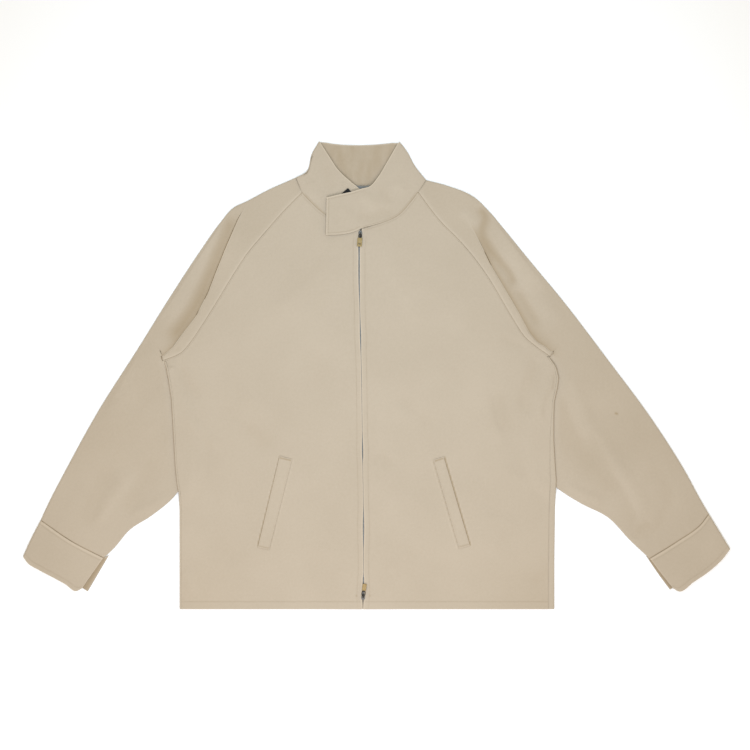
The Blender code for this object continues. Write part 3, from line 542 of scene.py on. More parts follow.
def mottle_group():
    """Slight unevenness of dye and of wear, from broad patches down to single slubs."""
    tree, given, put_out = group("dye mottle", {"Place": ("Vector", None), "Broad": ("Float", 9.0),
                                                "Fine": ("Float", 260.0)},
                                 {"Shade": "Float", "Pucker": "Float"})
    broad, fine, pucker = (
        node(tree, "TexNoise", {"Vector": given["Place"], **more})["Fac"]
        for more in ({"Scale": given["Broad"]}, {"Scale": given["Fine"]},
                     {"Scale": 75.0, "Detail": 4.0}))
    shade = maths(tree, "ADD", maths(tree, "MULTIPLY", broad, 0.6),
                  maths(tree, "MULTIPLY", fine, 0.4))
    feed(tree, put_out, {"Shade": shade, "Pucker": pucker})
    return tree


def painted_light_group():
    """Painted light: a painted highlight makes edges paler, painted shade makes cloth in seams,
    folds and recesses darker and warmer; a few real marks are darkened the same way.
    """
    tree, given, put_out = group("painted seam shade and edge highlight",
                                 {"Colour": ("Color", None), "Painted light": ("Float", 0.0),
                                  "Painted highlight": ("Float", 0.18),
                                  "Painted shade colour": ("Color", (0.78, 0.72, 0.62, 1.0))},
                                 {"Colour": "Color"})
    high = maths(tree, "MULTIPLY", maths(tree, "MAXIMUM", given["Painted light"], 0.0), given["Painted highlight"])
    paler = node(tree, "VectorMath", {0: given["Colour"], "Scale": maths(tree, "ADD", 1.0, high)},
                 operation="SCALE")["Vector"]
    deep = mix(tree, paler, given["Painted shade colour"], maths(tree, "MULTIPLY", given["Painted light"], -1.0),
               blend_type="MULTIPLY")
    feed(tree, put_out, {"Colour": deep})
    return tree


def new_material(name):
    material = bpy.data.materials.new(name)
    material.use_nodes = True
    tree = material.node_tree
    return material, tree, tree.nodes["Principled BSDF"].inputs


def cloth_material(name, light, dark, threads, weave, pucker, roughness, sheen):
    """Woven cloth of two close shades, with a twill that follows the cut."""
    material, tree, shader = new_material(name)
    cut = node(tree, "UVMap", {}, uv_map="cut")["UV"]
    place_on = node(tree, "TexCoord", {})["Object"]
    twill = node(tree, "Group", {"Cut": cut, "Threads per metre": threads},
                 node_tree=GROUPS["twill"])
    mottle = node(tree, "Group", {"Place": place_on}, node_tree=GROUPS["mottle"])
    shade = node(tree, "MapRange", {"Value": mottle["Shade"], "From Min": 0.35, "From Max": 0.65})
    dyed = mix(tree, (*dark, 1.0), (*light, 1.0), shade["Result"])
    woven = mix(tree, dyed, (0.80, 0.77, 0.72, 1.0), maths(tree, "MULTIPLY", twill["Gap"], 0.22),
                blend_type="MULTIPLY")
    # painted highlight and painted shade, with a few real darker marks, from the mesh's attribute
    worn_and_painted_light = node(tree, "Attribute", {}, attribute_name="painted_light_and_marks")["Fac"]
    with_painted_light = node(tree, "Group", {"Colour": woven, "Painted light": worn_and_painted_light}, node_tree=GROUPS["painted_light_and_marks"])
    soft = node(tree, "Bump", {"Height": mottle["Pucker"], "Strength": pucker, "Distance": 0.0006})
    fine = node(tree, "Bump", {"Height": twill["Height"], "Strength": weave, "Distance": 0.00008,
                               "Normal": soft["Normal"]})
    feed(tree, shader, {"Base Color": with_painted_light["Colour"], "Normal": fine["Normal"],
                        "Roughness": roughness, "Sheen Weight": sheen, "Sheen Roughness": 0.5,
                        "Specular IOR Level": 0.25})
    return material


def metal_material(name, colour, worn_and_painted_light, roughness, metallic):
    """Plated metal with fine scratches and patches where the plating is rubbed."""
    material, tree, shader = new_material(name)
    place_on = node(tree, "TexCoord", {})["Object"]
    rub = node(tree, "TexNoise", {"Vector": place_on, "Scale": 420.0, "Detail": 5.0})["Fac"]
    stretch = node(tree, "Mapping", {"Vector": place_on, "Scale": (1.0, 0.12, 1.0)})["Vector"]
    scratch = node(tree, "TexNoise", {"Vector": stretch, "Scale": 1900.0})["Fac"]
    patches = node(tree, "MapRange", {"Value": rub, "From Min": 0.45, "From Max": 0.72})["Result"]
    rough = node(tree, "MapRange", {"Value": scratch, "To Min": roughness - 0.1,
                                    "To Max": roughness + 0.15})["Result"]
    bump = node(tree, "Bump", {"Height": scratch, "Strength": 0.15, "Distance": 0.00003})["Normal"]
    feed(tree, shader, {"Base Color": mix(tree, (*colour, 1.0), (*worn_and_painted_light, 1.0), patches),
                        "Roughness": rough, "Metallic": metallic, "Normal": bump})
    return material


GROUPS = {"twill": weave_group(), "mottle": mottle_group(), "painted_light_and_marks": painted_light_group()}
MATERIALS = {
    "cotton": cloth_material("beige cotton", (0.492, 0.408, 0.306), (0.464, 0.383, 0.284),
                             2000.0, 0.5, 0.35, 0.9, 0.12),
    "thread": cloth_material("beige thread", (0.455, 0.373, 0.275), (0.40, 0.325, 0.235),
                             5200.0, 0.6, 0.2, 0.8, 0.2),
    "tape": cloth_material("grey-blue zip tape", (0.25, 0.265, 0.275), (0.21, 0.225, 0.235),
                           2600.0, 0.8, 0.2, 0.85, 0.1),
    "label": cloth_material("woven label", (0.25, 0.255, 0.25), (0.20, 0.205, 0.20),
                            4200.0, 0.6, 0.1, 0.8, 0.1),
    "hooks": cloth_material("hook tape", (0.012, 0.012, 0.014), (0.006, 0.006, 0.007),
                            1100.0, 1.0, 0.4, 0.8, 0.1),
    "dark": metal_material("dark plated metal", (0.032, 0.027, 0.021), (0.09, 0.074, 0.055),
                           0.5, 0.8),
    "slider": metal_material("grey plated metal", (0.125, 0.115, 0.10), (0.175, 0.162, 0.145),
                             0.5, 0.6),
    "teeth": metal_material("zip teeth", (0.23, 0.235, 0.23), (0.34, 0.34, 0.33), 0.45, 0.7),
    "brass": metal_material("brass", (0.27, 0.185, 0.078), (0.31, 0.225, 0.115), 0.5, 1.0),
}


# --------------------------------------------------------------------------- body
HEM_STITCH, BAR_TACK = 12.0, 22.0       # up from the hem; the tack is on the fly's stitches
FLY_STITCH = 8.0                        # from the edges of the fronts
SEAM_STITCH, NECK_STITCH = 2.2, 3.4     # beside the raglan and neck seams
HALF_WELT = 9.5
HEM_STEPS = (0.0, 0.35, 0.8, 1.4, 2.4, 4.0, 6.4, 8.8, 10.4, 11.3, 12.0, 12.7, 13.8, 16.0)
FLY_STEPS = (0.0, 0.35, 0.8, 1.4, 2.4, 3.8, 5.4, 6.8, 7.4, 8.0, 8.6, 9.4, 10.8, 13.2)
UNDERARM_STEPS = (0.0, 1.2, 2.4, 3.6, 4.9, 6.3, 7.8, 9.5, 11.5, 14.0)


def between(edges, corners, across, along):
    """Flat places between a lower, an upper, a left and a right edge."""
    lower, upper, left, right = edges
    ends = [lerp(corners[0], corners[1], across), lerp(corners[2], corners[3], across)]
    return lerp(lower, upper, along) + lerp(left, right, across) - lerp(*ends, along)


def body_flat(side, level_shares, along_shares, column_shares):
    """Flat places of one half of the body, from the hem to the neckline."""
    level, up = level_shares * UNDERARM_ROW, level_shares * side["side"][-1][1]
    inset = np.interp(up, *zip(*side["side_seam"]))
    start = np.stack((at_height(side["side"], up) - side["sign"] * inset, up), -1)
    end = np.stack((zip_x(level), level), -1)
    across, along = column_shares[None, :, None], along_shares[:, None, None]
    raglan, neck = curve(side["raglan"]), curve(side["neck"])
    corners = (start[-1], end[-1], neck(0.0), neck(1.0))
    zip_up = lerp(corners[1], corners[3], along_shares[:, None])[:, None]
    edges = (lerp(corners[0], corners[1], across), neck(column_shares)[None],
             raglan(along_shares)[:, None], zip_up)
    chest = between(edges, corners, across, along)
    chest[:, 0] = raglan(along_shares)
    off = zip_x(chest[:, -1, 1]) - chest[:, -1, 0]
    off[-1] = 0.0
    chest[..., 0] += off[:, None] * smooth((column_shares[None] - 0.85) / 0.15)
    return np.concatenate((lerp(start[:, None], end[:, None], across), chest), axis=0)


def seam_relief(distance, stitch=SEAM_STITCH):
    """Beside a seam: a turned edge, the doubled allowance and the sunk topstitch."""
    groove = -0.40 * bump_at(distance, 0.7)
    ridge = 0.26 * smooth((stitch + 2.6 - distance) / 2.6)
    return groove + ridge - 0.16 * bump_at(distance - stitch, 0.55)


def puckers(distance, along, reach, seed):
    """Small gathers that a row of stitches draws into the cloth beside it."""
    wave = rumple(along, along * 0.0, 7.0, seed, 2)
    wave = wave + 0.5 * np.sin(along / 3.3 + 2 * np.sin(along / 29))
    return wave * np.exp(-np.abs(distance) / reach)


def fly_gap(up):
    return np.interp(up, *zip(*FLY_OPENING))


def front_relief(side, x, up):
    """What lies on the front's smooth form: creases, seams, hem, fly, pocket and puckers."""
    seed = 3.0 + side["sign"]
    raglan, raglan_along, _ = nearest(sampled(side["raglan"]), x, up)
    neck = np.abs(nearest(sampled(side["neck"]), x, up)[0])
    from_zip = np.abs(x - zip_x(up)) - fly_gap(up)
    from_fly, from_hem = from_zip - FLY_STITCH, up - HEM_STITCH
    corners = side["pocket"]
    middle = (lerp(corners[0], corners[1], 0.5), lerp(corners[3], corners[2], 0.5))
    pocket, pocket_along, pocket_length = nearest(middle, x, up)
    beside = np.abs(pocket) - HALF_WELT
    seam = at_height(side["side"], up) - side["sign"] * np.interp(up, *zip(*side["side_seam"]))
    from_side = np.abs(x - seam)

    high, painted_fold_light = crease_heights(FRONT_CREASES[side["name"]], x, up)
    high += 0.42 * rumple(x, up, 46.0, seed) + 0.13 * rumple(x, up, 11.0, seed + 4.0)
    high *= smooth(from_zip / 26.0) * 0.85 + 0.15
    high += np.where(up > 395, seam_relief(np.abs(raglan)), 0.0)
    high += np.where(up > 500, seam_relief(neck, NECK_STITCH), 0.0)
    high += 0.10 * puckers(np.abs(raglan) - SEAM_STITCH, raglan_along, 5.0, seed)
    high += 0.14 * puckers(from_fly, up, 6.0, seed + 1) + 0.25 * smooth((2.0 - from_fly) / 3.0)
    high -= 0.18 * bump_at(from_fly, 0.9) + 0.30 * bump_at(from_zip, 0.8)
    high += 0.30 * smooth((2.0 - from_hem) / 2.5) - 0.20 * bump_at(from_hem, 0.8)
    high += 0.13 * puckers(from_hem, x, 5.0, seed + 2) - 0.4 * bump_at(up, 0.8)
    drawn = puckers(np.maximum(beside, 0.0), pocket_along, 6.0, seed + 3)
    high += 0.22 * drawn * smooth(beside / 2.0)
    high += 0.35 * smooth(1.0 - np.abs(beside) / 14.0)

    # Painted light: fold shade and highlight, a painted highlight along the front's edge at the
    # zip, painted shade in the fly's stitch line
    painted_light_and_marks = 0.2 * painted_fold_light + 1.0 * bump_at(from_zip, 1.2) - 0.18 * bump_at(from_fly, 0.8)
    # painted shade in the raglan, neck and side seams
    painted_light_and_marks -= np.where(up > 395, 0.55 * bump_at(raglan, 0.8), 0.0)
    at_neck = 0.85 * bump_at(neck, 0.8) + 0.25 * bump_at(neck - NECK_STITCH, 0.6)
    painted_light_and_marks -= np.where(up > 500, at_neck, 0.0)
    painted_light_and_marks -= np.where(up < 420, 0.15 * bump_at(from_side, 0.8), 0.0)
    # painted shade at the hem's stitch line and edge; the bar tack's thread is darker; painted
    # shade towards the hem's outer corners
    painted_light_and_marks -= 0.22 * bump_at(from_hem, 0.8) + 0.3 * bump_at(up, 0.8)
    painted_light_and_marks -= 0.6 * bump_at(np.hypot(from_fly, up - BAR_TACK), 1.3)
    painted_light_and_marks -= 0.16 * smooth(1.0 - up / 150.0) * smooth(1.0 - from_side / 160.0)
    # a strong painted shadow along the welt's opening side, weaker painted shade along its other
    # side, a painted highlight just beside it
    inside_pocket = smooth(pocket_along / 2.0) * smooth((pocket_length - pocket_along) / 2.0)
    opening = np.where(pocket * side["sign"] < 0, 1.5 * bump_at(beside, 1.3),
                       0.6 * bump_at(beside, 0.8))
    painted_light_and_marks += (0.4 * bump_at(beside - 2.6, 0.9) - opening) * inside_pocket
    return high, painted_light_and_marks


def make_front(side):
    width = abs(side["side"][0][0] - zip_x(0))
    columns = spaced(width, 2.7, EDGE_STEPS, FLY_STEPS)
    levels = spaced(UNDERARM_ROW, 3.0, HEM_STEPS, UNDERARM_STEPS)
    alongs = spaced(CHEST_LENGTH, 3.2, UNDERARM_STEPS, EDGE_STEPS)[1:]
    flat = body_flat(side, levels, alongs, columns)
    x, up = flat[..., 0], flat[..., 1]
    relief, painted_light_and_marks = front_relief(side, x, up)
    points = np.stack((x, up, front_height(side, x, up) + relief), -1)
    near_zip = smooth(1.0 - np.abs(x - x[:, -1:]) / 22.0)
    points[..., 0] += side["sign"] * (fly_gap(up[:, -1])[:, None] - SEAM / 2) * near_zip
    cloth_piece("front_" + side["name"], [(pull_in(points), flat * MM, painted_light_and_marks)])


def fold_points(edge, outward, low, high, wall=CLOTH, steps=8):
    """A half circle from the lower wall round an edge to the upper wall."""
    radius = (high - low) / 2
    angle = np.pi * (np.arange(steps + 1) / steps - 0.5)
    reach = radius * (np.cos(angle) - 1) - wall / 2
    flat = np.asarray(edge, float)[None] + np.asarray(outward, float)[None] * reach[:, None]
    return np.column_stack((flat, (low + high) / 2 + radius * np.sin(angle)))


def make_back():
    """The back, which turns over each side edge to meet the front's side seam."""
    levels = spaced(UNDERARM_ROW, 5.0, (0.0, 0.5, 1.5, 4.0), (0.0, 3.0))
    alongs = spaced(CHEST_LENGTH, 8.0, (0.0, 4.0), (0.0, 4.0))[1:]
    columns = spaced(300.0, 9.0, EDGE_STEPS, (0.0, 4.0))
    halves = []
    for side in SIDES.values():
        flat = body_flat(side, levels, alongs, columns)
        halves.append(np.dstack((flat, back_height(side, flat[..., 0], flat[..., 1]))))
    main = np.concatenate((halves[0][:, :-1], halves[1][:, ::-1]), axis=1)
    neckline = main[-1]
    across = np.linspace(0, 1, len(neckline))[:, None]
    target = at_level(lerp(*BACK_NECK, across), CLOTH / 2)
    neck_rows = [lerp(neckline, target, share) for share in (0.25, 0.5, 0.75, 1.0)]
    main = np.concatenate((main, neck_rows), axis=0)
    shrunk = pull_in(main)
    count = len(levels)
    for end in (0, -1):
        shrunk[:count, end, ::2] = main[:count, end, ::2]
    grids = [plain(shrunk)]
    for side in SIDES.values():
        wrap = []
        for seam in shrunk[:count, 0 if side["sign"] < 0 else -1]:
            high = seam[2] + BODY_LAYER
            edge = (at_height(side["side"], seam[1]), seam[1])
            turn = fold_points(edge, (side["sign"], 0), seam[2], high)
            end = (seam[0] - side["sign"] * SEAM * 0.3, seam[1], high)
            wrap.append([seam, *turn, lerp(turn[-1], end, 0.5), end])
        grids.append(plain(np.array(wrap)))
        # painted highlight on the turned side edge, painted shade where it ends at the side seam
        grids[-1][2][:, 4:8] = 0.4
        grids[-1][2][:, -1] = -0.1
    cloth_piece("back", grids)


# ------------------------------------------------------------------------ sleeves
CREASE_SHARE, FOOT_SHARE = 0.125, 0.15     # where the tuck's line and foot end on the arm
SHOULDER_WIDTH, STRIP_WIDTH = 60.0, 160.0  # nominal widths before and beyond the tuck
FLOOR_SHARES = np.concatenate((np.linspace(0.90, 0.06, 26), (0.03, 0.012, 0.0)))
SEAM_ROLL, ROLL_ROW = 0.45, 12
UNDER_BODY = 5.5                    # how far the sleeves tuck in under the body at the underarm
SPECK = (384, 313)                  # a tiny dark spot on one sleeve
NECK_SEAM = -0.25
UNDERARM = RAGLAN_ROWS              # row number of the underarm, in rows of the solid
ARM = UNDERARM + 1                  # first row of the arm below it


def crossing(start, end, line):
    """Where a row meets an outline, as a share of the row."""
    across = np.subtract(end, start)
    for near, far in zip(line, line[1:]):
        along = np.subtract(far, near)
        det = across[0] * -along[1] + along[0] * across[1]
        offset = np.subtract(near, start)
        share = (offset[0] * -along[1] + along[0] * offset[1]) / det
        reach = (across[0] * offset[1] - across[1] * offset[0]) / det
        if 0.0 <= reach <= 1.0 and 0.0 < share < 1.0:
            return share
    return None


def sleeve_ends(side, number):
    """Inner and outer end of the row with this number, whole or between two rows."""
    raglan, inner, outer = curve(side["raglan"]), curve(side["inner"]), curve(side["outer"])
    turn, after = side["outer_at_underarm"]
    if number <= UNDERARM:
        share = number / UNDERARM
        return raglan(1 - share), outer(turn * share)
    if number < ARM:
        share = number - UNDERARM
        return lerp(raglan(0.0), inner(0.0), share), outer(lerp(turn, after, share))
    share = (number - ARM) / ARM_ROWS
    return inner(share), outer(lerp(after, 1.0, share))


def crease_shares(side, numbers):
    """Share of each row at which the tuck lies."""
    known = [(0.0, NECK_CREASE)]
    for number in numbers:
        if 0.6 < number < UNDERARM:
            share = crossing(*sleeve_ends(side, number), side["crease"])
            if share is not None:
                known.append((number, share))
    known += [(float(UNDERARM), UNDERARM_CREASE), (float(ARM), CREASE_SHARE)]
    return np.interp(numbers, *zip(*known))


def sleeve_relief(side, x, up, numbers):
    """Creases, seams and unevenness of the side of the sleeve that shows."""
    seed = 7.0 + side["sign"]
    outside = side["sign"] * (x - at_height(side["side"], up))
    shown = np.where(numbers < UNDERARM + 0.5, 1.0, smooth((outside - 3.0) / 12.0))
    high, painted_fold_light = crease_heights(SLEEVE_CREASES[side["name"]], x, up)
    high += 0.46 * rumple(x, up, 44.0, seed) + 0.13 * rumple(x, up, 11.0, seed + 4.0)
    raglan, along, _ = nearest(sampled(side["raglan"]), x, up)
    cuff, cuff_along, _ = nearest(sampled(side["cuff_seam"]), x, up)
    from_raglan, from_cuff = np.abs(raglan), np.abs(cuff)
    high *= smooth(from_raglan / 14.0)
    high += np.where(numbers < UNDERARM + 0.2, -0.5 * bump_at(from_raglan, 0.8), 0.0)
    high += 0.06 * puckers(from_raglan, along, 4.0, seed)
    high += 0.5 * puckers(from_cuff, cuff_along, 9.0, seed + 2) * smooth((from_cuff - 1) / 6.0)
    high -= 0.5 * bump_at(cuff, 0.9)
    shoulder = 0.25 + 0.75 * smooth((up - 410.0) / 30.0)
    # Painted light: fold shade and highlight, painted shade along the cuff seam
    painted_light_and_marks = painted_fold_light * shoulder * smooth(from_raglan / 6.0) - 1.2 * bump_at(cuff, 1.1)
    # painted shade in the raglan seam, a painted highlight just beside it
    beside_seam = 0.55 * bump_at(from_raglan, 0.8) - 0.45 * bump_at(from_raglan - 2.0, 0.9)
    painted_light_and_marks -= np.where(numbers < UNDERARM + 0.2, beside_seam, 0.0)
    # painted shade over the upper sleeve, away from the raglan seam
    painted_light_and_marks -= 0.12 * smooth((up - 190.0) / 80.0) * smooth(from_raglan / 10.0)
    if side["name"] == "left":
        painted_light_and_marks -= 1.8 * bump_at(np.hypot(x - SPECK[0], up - SPECK[1]), 1.8)
    return high * shown, painted_light_and_marks * shown


def sleeve_row(side, number, last, crease, shoulder, strip):
    """One row round the sleeve: shoulder, tuck, strip beyond it, fold and underside.

    Gives the points, and how far the tuck has grown here.
    """
    start, end = sleeve_ends(side, number)
    arm = smooth(number - UNDERARM)
    tucked = UNDER_BODY * smooth((number - UNDERARM) / 0.2)
    tucked *= bump_at(min(start[1] - side["inner"][0][1], 0.0), 16.0)
    start = start - (side["sign"] * tucked, 0.0)
    length = np.linalg.norm(end - start)
    outward = (end - start) / length
    near_cuff = smooth(number - (last - 1.0))
    seam = curve(side["cuff_seam"])
    if near_cuff > 0:
        outward = unit(lerp(outward, unit(seam(1.0) - seam(0.9)), near_cuff))

    def path(share):
        column = np.asarray(share)[..., None]
        bow = seam(share) - lerp(seam(0.0), seam(1.0), column)
        return lerp(start, end, column) + bow * near_cuff

    grown = smooth((number - TUCK_START) / TUCK_GROWTH)
    grown *= lerp(1.0, TUCK_END, smooth(number - UNDERARM + 1)) * (1 - arm)
    rise = CREASE_RISE * grown
    crease_at = min(crease, 1 - TUCK_ROOM / length - 0.01)
    foot_at = lerp(crease_at + TUCK_FOOT / length, FOOT_SHARE, arm)
    crease_at = lerp(crease_at, CREASE_SHARE, arm)

    below = smooth((number - UNDERARM) / 0.7)
    roll = SEAM_ROLL * smooth((number - ROLL_ROW) / 2)
    seam_high = front_height(side, *start) if number <= ARM else SLEEVE_TOP
    seam_high = lerp(seam_high, SLEEVE_TOP - roll, below)
    if number >= ARM:
        upper_high = SLEEVE_TOP - (SLEEVE_TOP - seam_high) * (1 - smooth(shoulder * 12))
    else:
        upper_high = lerp(seam_high, SLEEVE_TOP + rise, smooth(shoulder) * 0.4 + shoulder * 0.6)
        upper_high = upper_high - 0.25 * rise * smooth((shoulder - 0.93) / 0.07)
    upper = np.column_stack((path(shoulder * crease_at), upper_high))

    rest = lerp(foot_at, 1.0, strip)
    room = smooth((1.0 - foot_at) * length / 70.0)
    air_above = SLEEVE_PUFF * np.sin(np.pi * strip) * smooth(number / 5) * room
    air_below = SLEEVE_PUFF * smooth((rest - 0.25) * 2) * np.sin(np.pi * rest)
    air = lerp(air_above, air_below, arm) * (1 - smooth(number - last + 1))
    beyond = path(rest) - outward * (SLEEVE_LAYER + CLOTH) / 2 * strip[:, None]
    beyond = np.column_stack((beyond, SLEEVE_TOP + air))

    fold = fold_points(end, outward, CLOTH / 2, SLEEVE_TOP)[::-1]
    start_low = lerp(back_height(side, *start), CLOTH / 2 + roll, below)
    floor_high = lerp(CLOTH / 2, start_low, smooth((0.10 - FLOOR_SHARES) / 0.10))
    floor = np.column_stack((path(FLOOR_SHARES), floor_high))
    return np.concatenate((upper, beyond, fold[1:-1], floor)), grown


def make_sleeve(side):
    numbers = np.concatenate((np.arange(0, UNDERARM, 1 / 13), np.arange(UNDERARM, ARM, 1 / 9),
                              np.arange(ARM, ARM + ARM_ROWS + 1e-6, 1 / 13)))
    last = numbers[-1]
    numbers = np.concatenate((numbers[:-1], last - np.array((0.05, 0.025, 0.0))))
    shoulder = spaced(SHOULDER_WIDTH, 4.6, EDGE_STEPS, (0.0, 0.8, 1.6, 3.0))
    strip = spaced(STRIP_WIDTH, 2.9, (0.0, 0.7, 1.6, 2.8), (0.0, 2.0))
    made = [sleeve_row(side, number, last, crease, shoulder, strip)
            for number, crease in zip(numbers, crease_shares(side, numbers))]
    points, grown = (np.array(parts) for parts in zip(*made))
    # painted highlight on the tuck's lip and painted shade beyond its foot
    from_lip, from_foot = (1.0 - shoulder) * SHOULDER_WIDTH, strip * STRIP_WIDTH
    painted_tuck_light = np.concatenate((1.3 * bump_at(from_lip, 1.8), -0.5 * bump_at(from_foot, 2.0)
                           - 0.28 * bump_at(from_foot, 11.0) - 0.42 * bump_at(from_foot, 30.0)))
    shown = len(painted_tuck_light)
    relief, shown_painted_light_and_marks = sleeve_relief(side, *points[:, :shown, :2].transpose(2, 0, 1),
                                       numbers[:, None])
    painted_light_and_marks = np.zeros(points.shape[:2])
    painted_light_and_marks[:, :shown] = shown_painted_light_and_marks + grown[:, None] * painted_tuck_light
    points[:, :shown, 2] += relief * smooth((1.0 - np.linspace(0, 1, shown)) * 14.0)
    points = pull_in(points)
    points[0] += unit(points[1] - points[0]) * NECK_SEAM
    cloth_piece("sleeve_" + side["name"], [(points, cut_places(points, shown), painted_light_and_marks)])


# -------------------------------------------------------------------------- cuffs
CUFF_STITCHES = (5.0, 52.0)      # from the seam, and near the edge
CUFF_HEIGHT, CUFF_WIDTH = 58.0, 120.0


def make_cuff(side):
    """A folded band, whose lower layer reaches past the upper at the opening."""
    seam, edge = curve(side["cuff_seam"]), curve(side["cuff_edge"])
    inner, outer = curve(side["cuff_inner"]), curve(side["cuff_outer"])
    corners = (seam(0.0), seam(1.0), edge(0.0), edge(1.0))
    lines = spaced(CUFF_HEIGHT, 1.8, (0.0, 0.35, 0.8, 1.4, 2.6, 4.0, 5.0, 6.0),
                   (0.0, 0.35, 0.8, 1.4, 2.6, 4.2, 5.4, 6.0, 6.8))
    across = spaced(CUFF_WIDTH, 2.6, EDGE_STEPS, (0.0, 2.0))
    low, high = COLLAR_WALL / 2, COLLAR_WALL / 2 + CUFF_LAYER
    shares = across * (1 - (CUFF_LAYER + COLLAR_WALL) / 2 / CUFF_WIDTH)
    under_shares = np.linspace(0.92, 0.0, 22)

    def band(share, along):
        share = np.asarray(share, float)
        edges = (seam(share), edge(share), inner(along), outer(along))
        return between(edges, corners, share[..., None], along)

    rows, painted_light_rows = [], []
    for along in lines:
        tangent = unit(band(1.0, along) - band(0.95, along))
        top = band(shares, along)
        down = along * CUFF_HEIGHT
        relief = -0.45 * bump_at(down, 0.9) - 0.40 * bump_at(CUFF_HEIGHT - down, 0.9)
        for stitch in CUFF_STITCHES:
            relief -= 0.16 * bump_at(down - stitch, 0.7)
            relief += 0.07 * puckers(down - stitch, top[:, 0], 4.0, stitch)
        relief = relief + 0.22 * rumple(top[:, 0], top[:, 1], 30.0, 2.0)
        relief = relief - 0.4 * bump_at(across * CUFF_WIDTH, 0.9)
        upper = np.column_stack((top, high + relief * smooth((1 - across) * 14)))
        turn = fold_points(band(1.0, along), tangent, low, high, COLLAR_WALL)[::-1]
        under = at_level(band(under_shares, along), low)
        lap = lerp(*side["cuff_underlap"], along)
        tips = [np.append(band(0.0, along) + lap * share, low) for share in (0.5, 0.9, 1.0)]
        rows.append(np.concatenate((upper, turn[1:-1], under, tips)))
        # Painted light: painted highlight at the folded edge and just below the seam, painted shade
        # in the seam and the stitch lines
        painted_light_and_marks = 0.6 * bump_at(CUFF_HEIGHT - down, 1.0) - 0.8 * bump_at(down, 0.6)
        painted_light_and_marks += 1.0 * bump_at(down - 1.9, 1.0)
        painted_light_and_marks -= sum(0.2 * bump_at(down - stitch, 0.7) for stitch in CUFF_STITCHES)
        painted_light_rows.append(np.full(len(rows[-1]), painted_light_and_marks))
        # painted highlight along the upper layer's end
        painted_light_rows[-1][:len(across)] += 0.9 * bump_at(across * CUFF_WIDTH, 1.2)
        # painted shadow on the lower layer's tips
        painted_light_rows[-1][-4:] -= (1.8, 0.9, 0.4, 0.1)
    points = pull_in(np.array(rows))
    cut = cut_places(points, len(across))
    cloth_piece("cuff_" + side["name"], [(points, cut, np.array(painted_light_rows))], COLLAR_WALL)


# ------------------------------------------------------------------------- collar
COLLAR_HEIGHT, TAB_LENGTH = 65.0, 57.0
RISES = spaced(COLLAR_HEIGHT, 2.6, (0.0, 0.35, 0.8, 1.4, 2.2, 3.0, 3.8, 4.6, 5.6), EDGE_STEPS)
TAB_STEPS = (0.0, 0.35, 0.8, 1.4, 2.2, 3.2, 4.0, 4.6, 5.2, 6.2, *range(8, 56, 2))
FLAT_COLLAR = COLLAR_WALL / 2
COLLAR_FOLDED = FLAT_COLLAR + COLLAR_LAYER
TAB_HEIGHT, CROSSED, CROSSED_END, CROSSED_HIGH, TAB_CLEAR = 8.4, -34.0, -24.0, 7.7, 25.0
TAB_STITCH = 3.6
TAB_END = -86.0
INSIDE_SHADE = 0.52                 # the inside of the collar is in shade


def collar_bow(side, rise):
    fold = curve(side["collar_fold"])
    return fold(rise) - lerp(fold(0.0), fold(1.0), np.asarray(rise)[..., None])


def front_collar(side):
    """Columns of one front half, from its front end to its folded edge."""
    neck, top = curve(side["neck"]), curve(side["collar_top"])
    neck_length = lengths_along(sampled(side["neck"], 21))[-1]
    shoulder = np.array(side["neck"][0], float)
    fold = np.array(side["collar_fold"][0], float)
    shoulder_length = np.linalg.norm(fold - shoulder)
    total = neck_length + shoulder_length
    front_high = float(front_height(side, *neck(1.0)))
    stations = []
    for share in np.linspace(1.0, 0.0, 44):
        reach = (shoulder_length + neck_length * share) / total
        stations.append((neck(share), reach, float(front_height(side, *neck(share)))))
    last_high = stations[-1][2]
    for share in np.linspace(0.0, 1.0, 10)[1:-1]:
        stations.append((lerp(shoulder, fold, share), shoulder_length * (1 - share) / total,
                         lerp(last_high, COLLAR_FOLDED, share)))
    columns = []
    for foot, reach, foot_high in stations:
        flat = lerp(foot, top(reach), RISES[:, None]) + collar_bow(side, RISES) * (1 - reach) ** 4
        near_zip = smooth(1 - reach / 0.99) if reach < 0.99 else 0.0
        high = lerp(foot_high, lerp(front_high, COLLAR_FOLDED, near_zip), RISES)
        columns.append(np.column_stack((flat, high)))
    return columns


def collar_fold(side):
    """The turn at the side of the neck, from the upper to the lower layer."""
    fold = curve(side["collar_fold"])
    shoulder = np.array(side["neck"][0], float)
    rings = []
    for rise in RISES:
        edge = fold(rise)
        along = fold(min(1.0, rise + 0.05)) - fold(max(0.0, rise - 0.05))
        outward = unit(np.array((-along[1], along[0])))
        if outward[0] * side["sign"] < 0:
            outward = -outward
        outward = unit(lerp(unit(edge - shoulder), outward, smooth(rise / 0.15)))
        rings.append(fold_points(edge, outward, FLAT_COLLAR, COLLAR_FOLDED, COLLAR_WALL)[::-1])
    return list(np.array(rings).transpose(1, 0, 2))


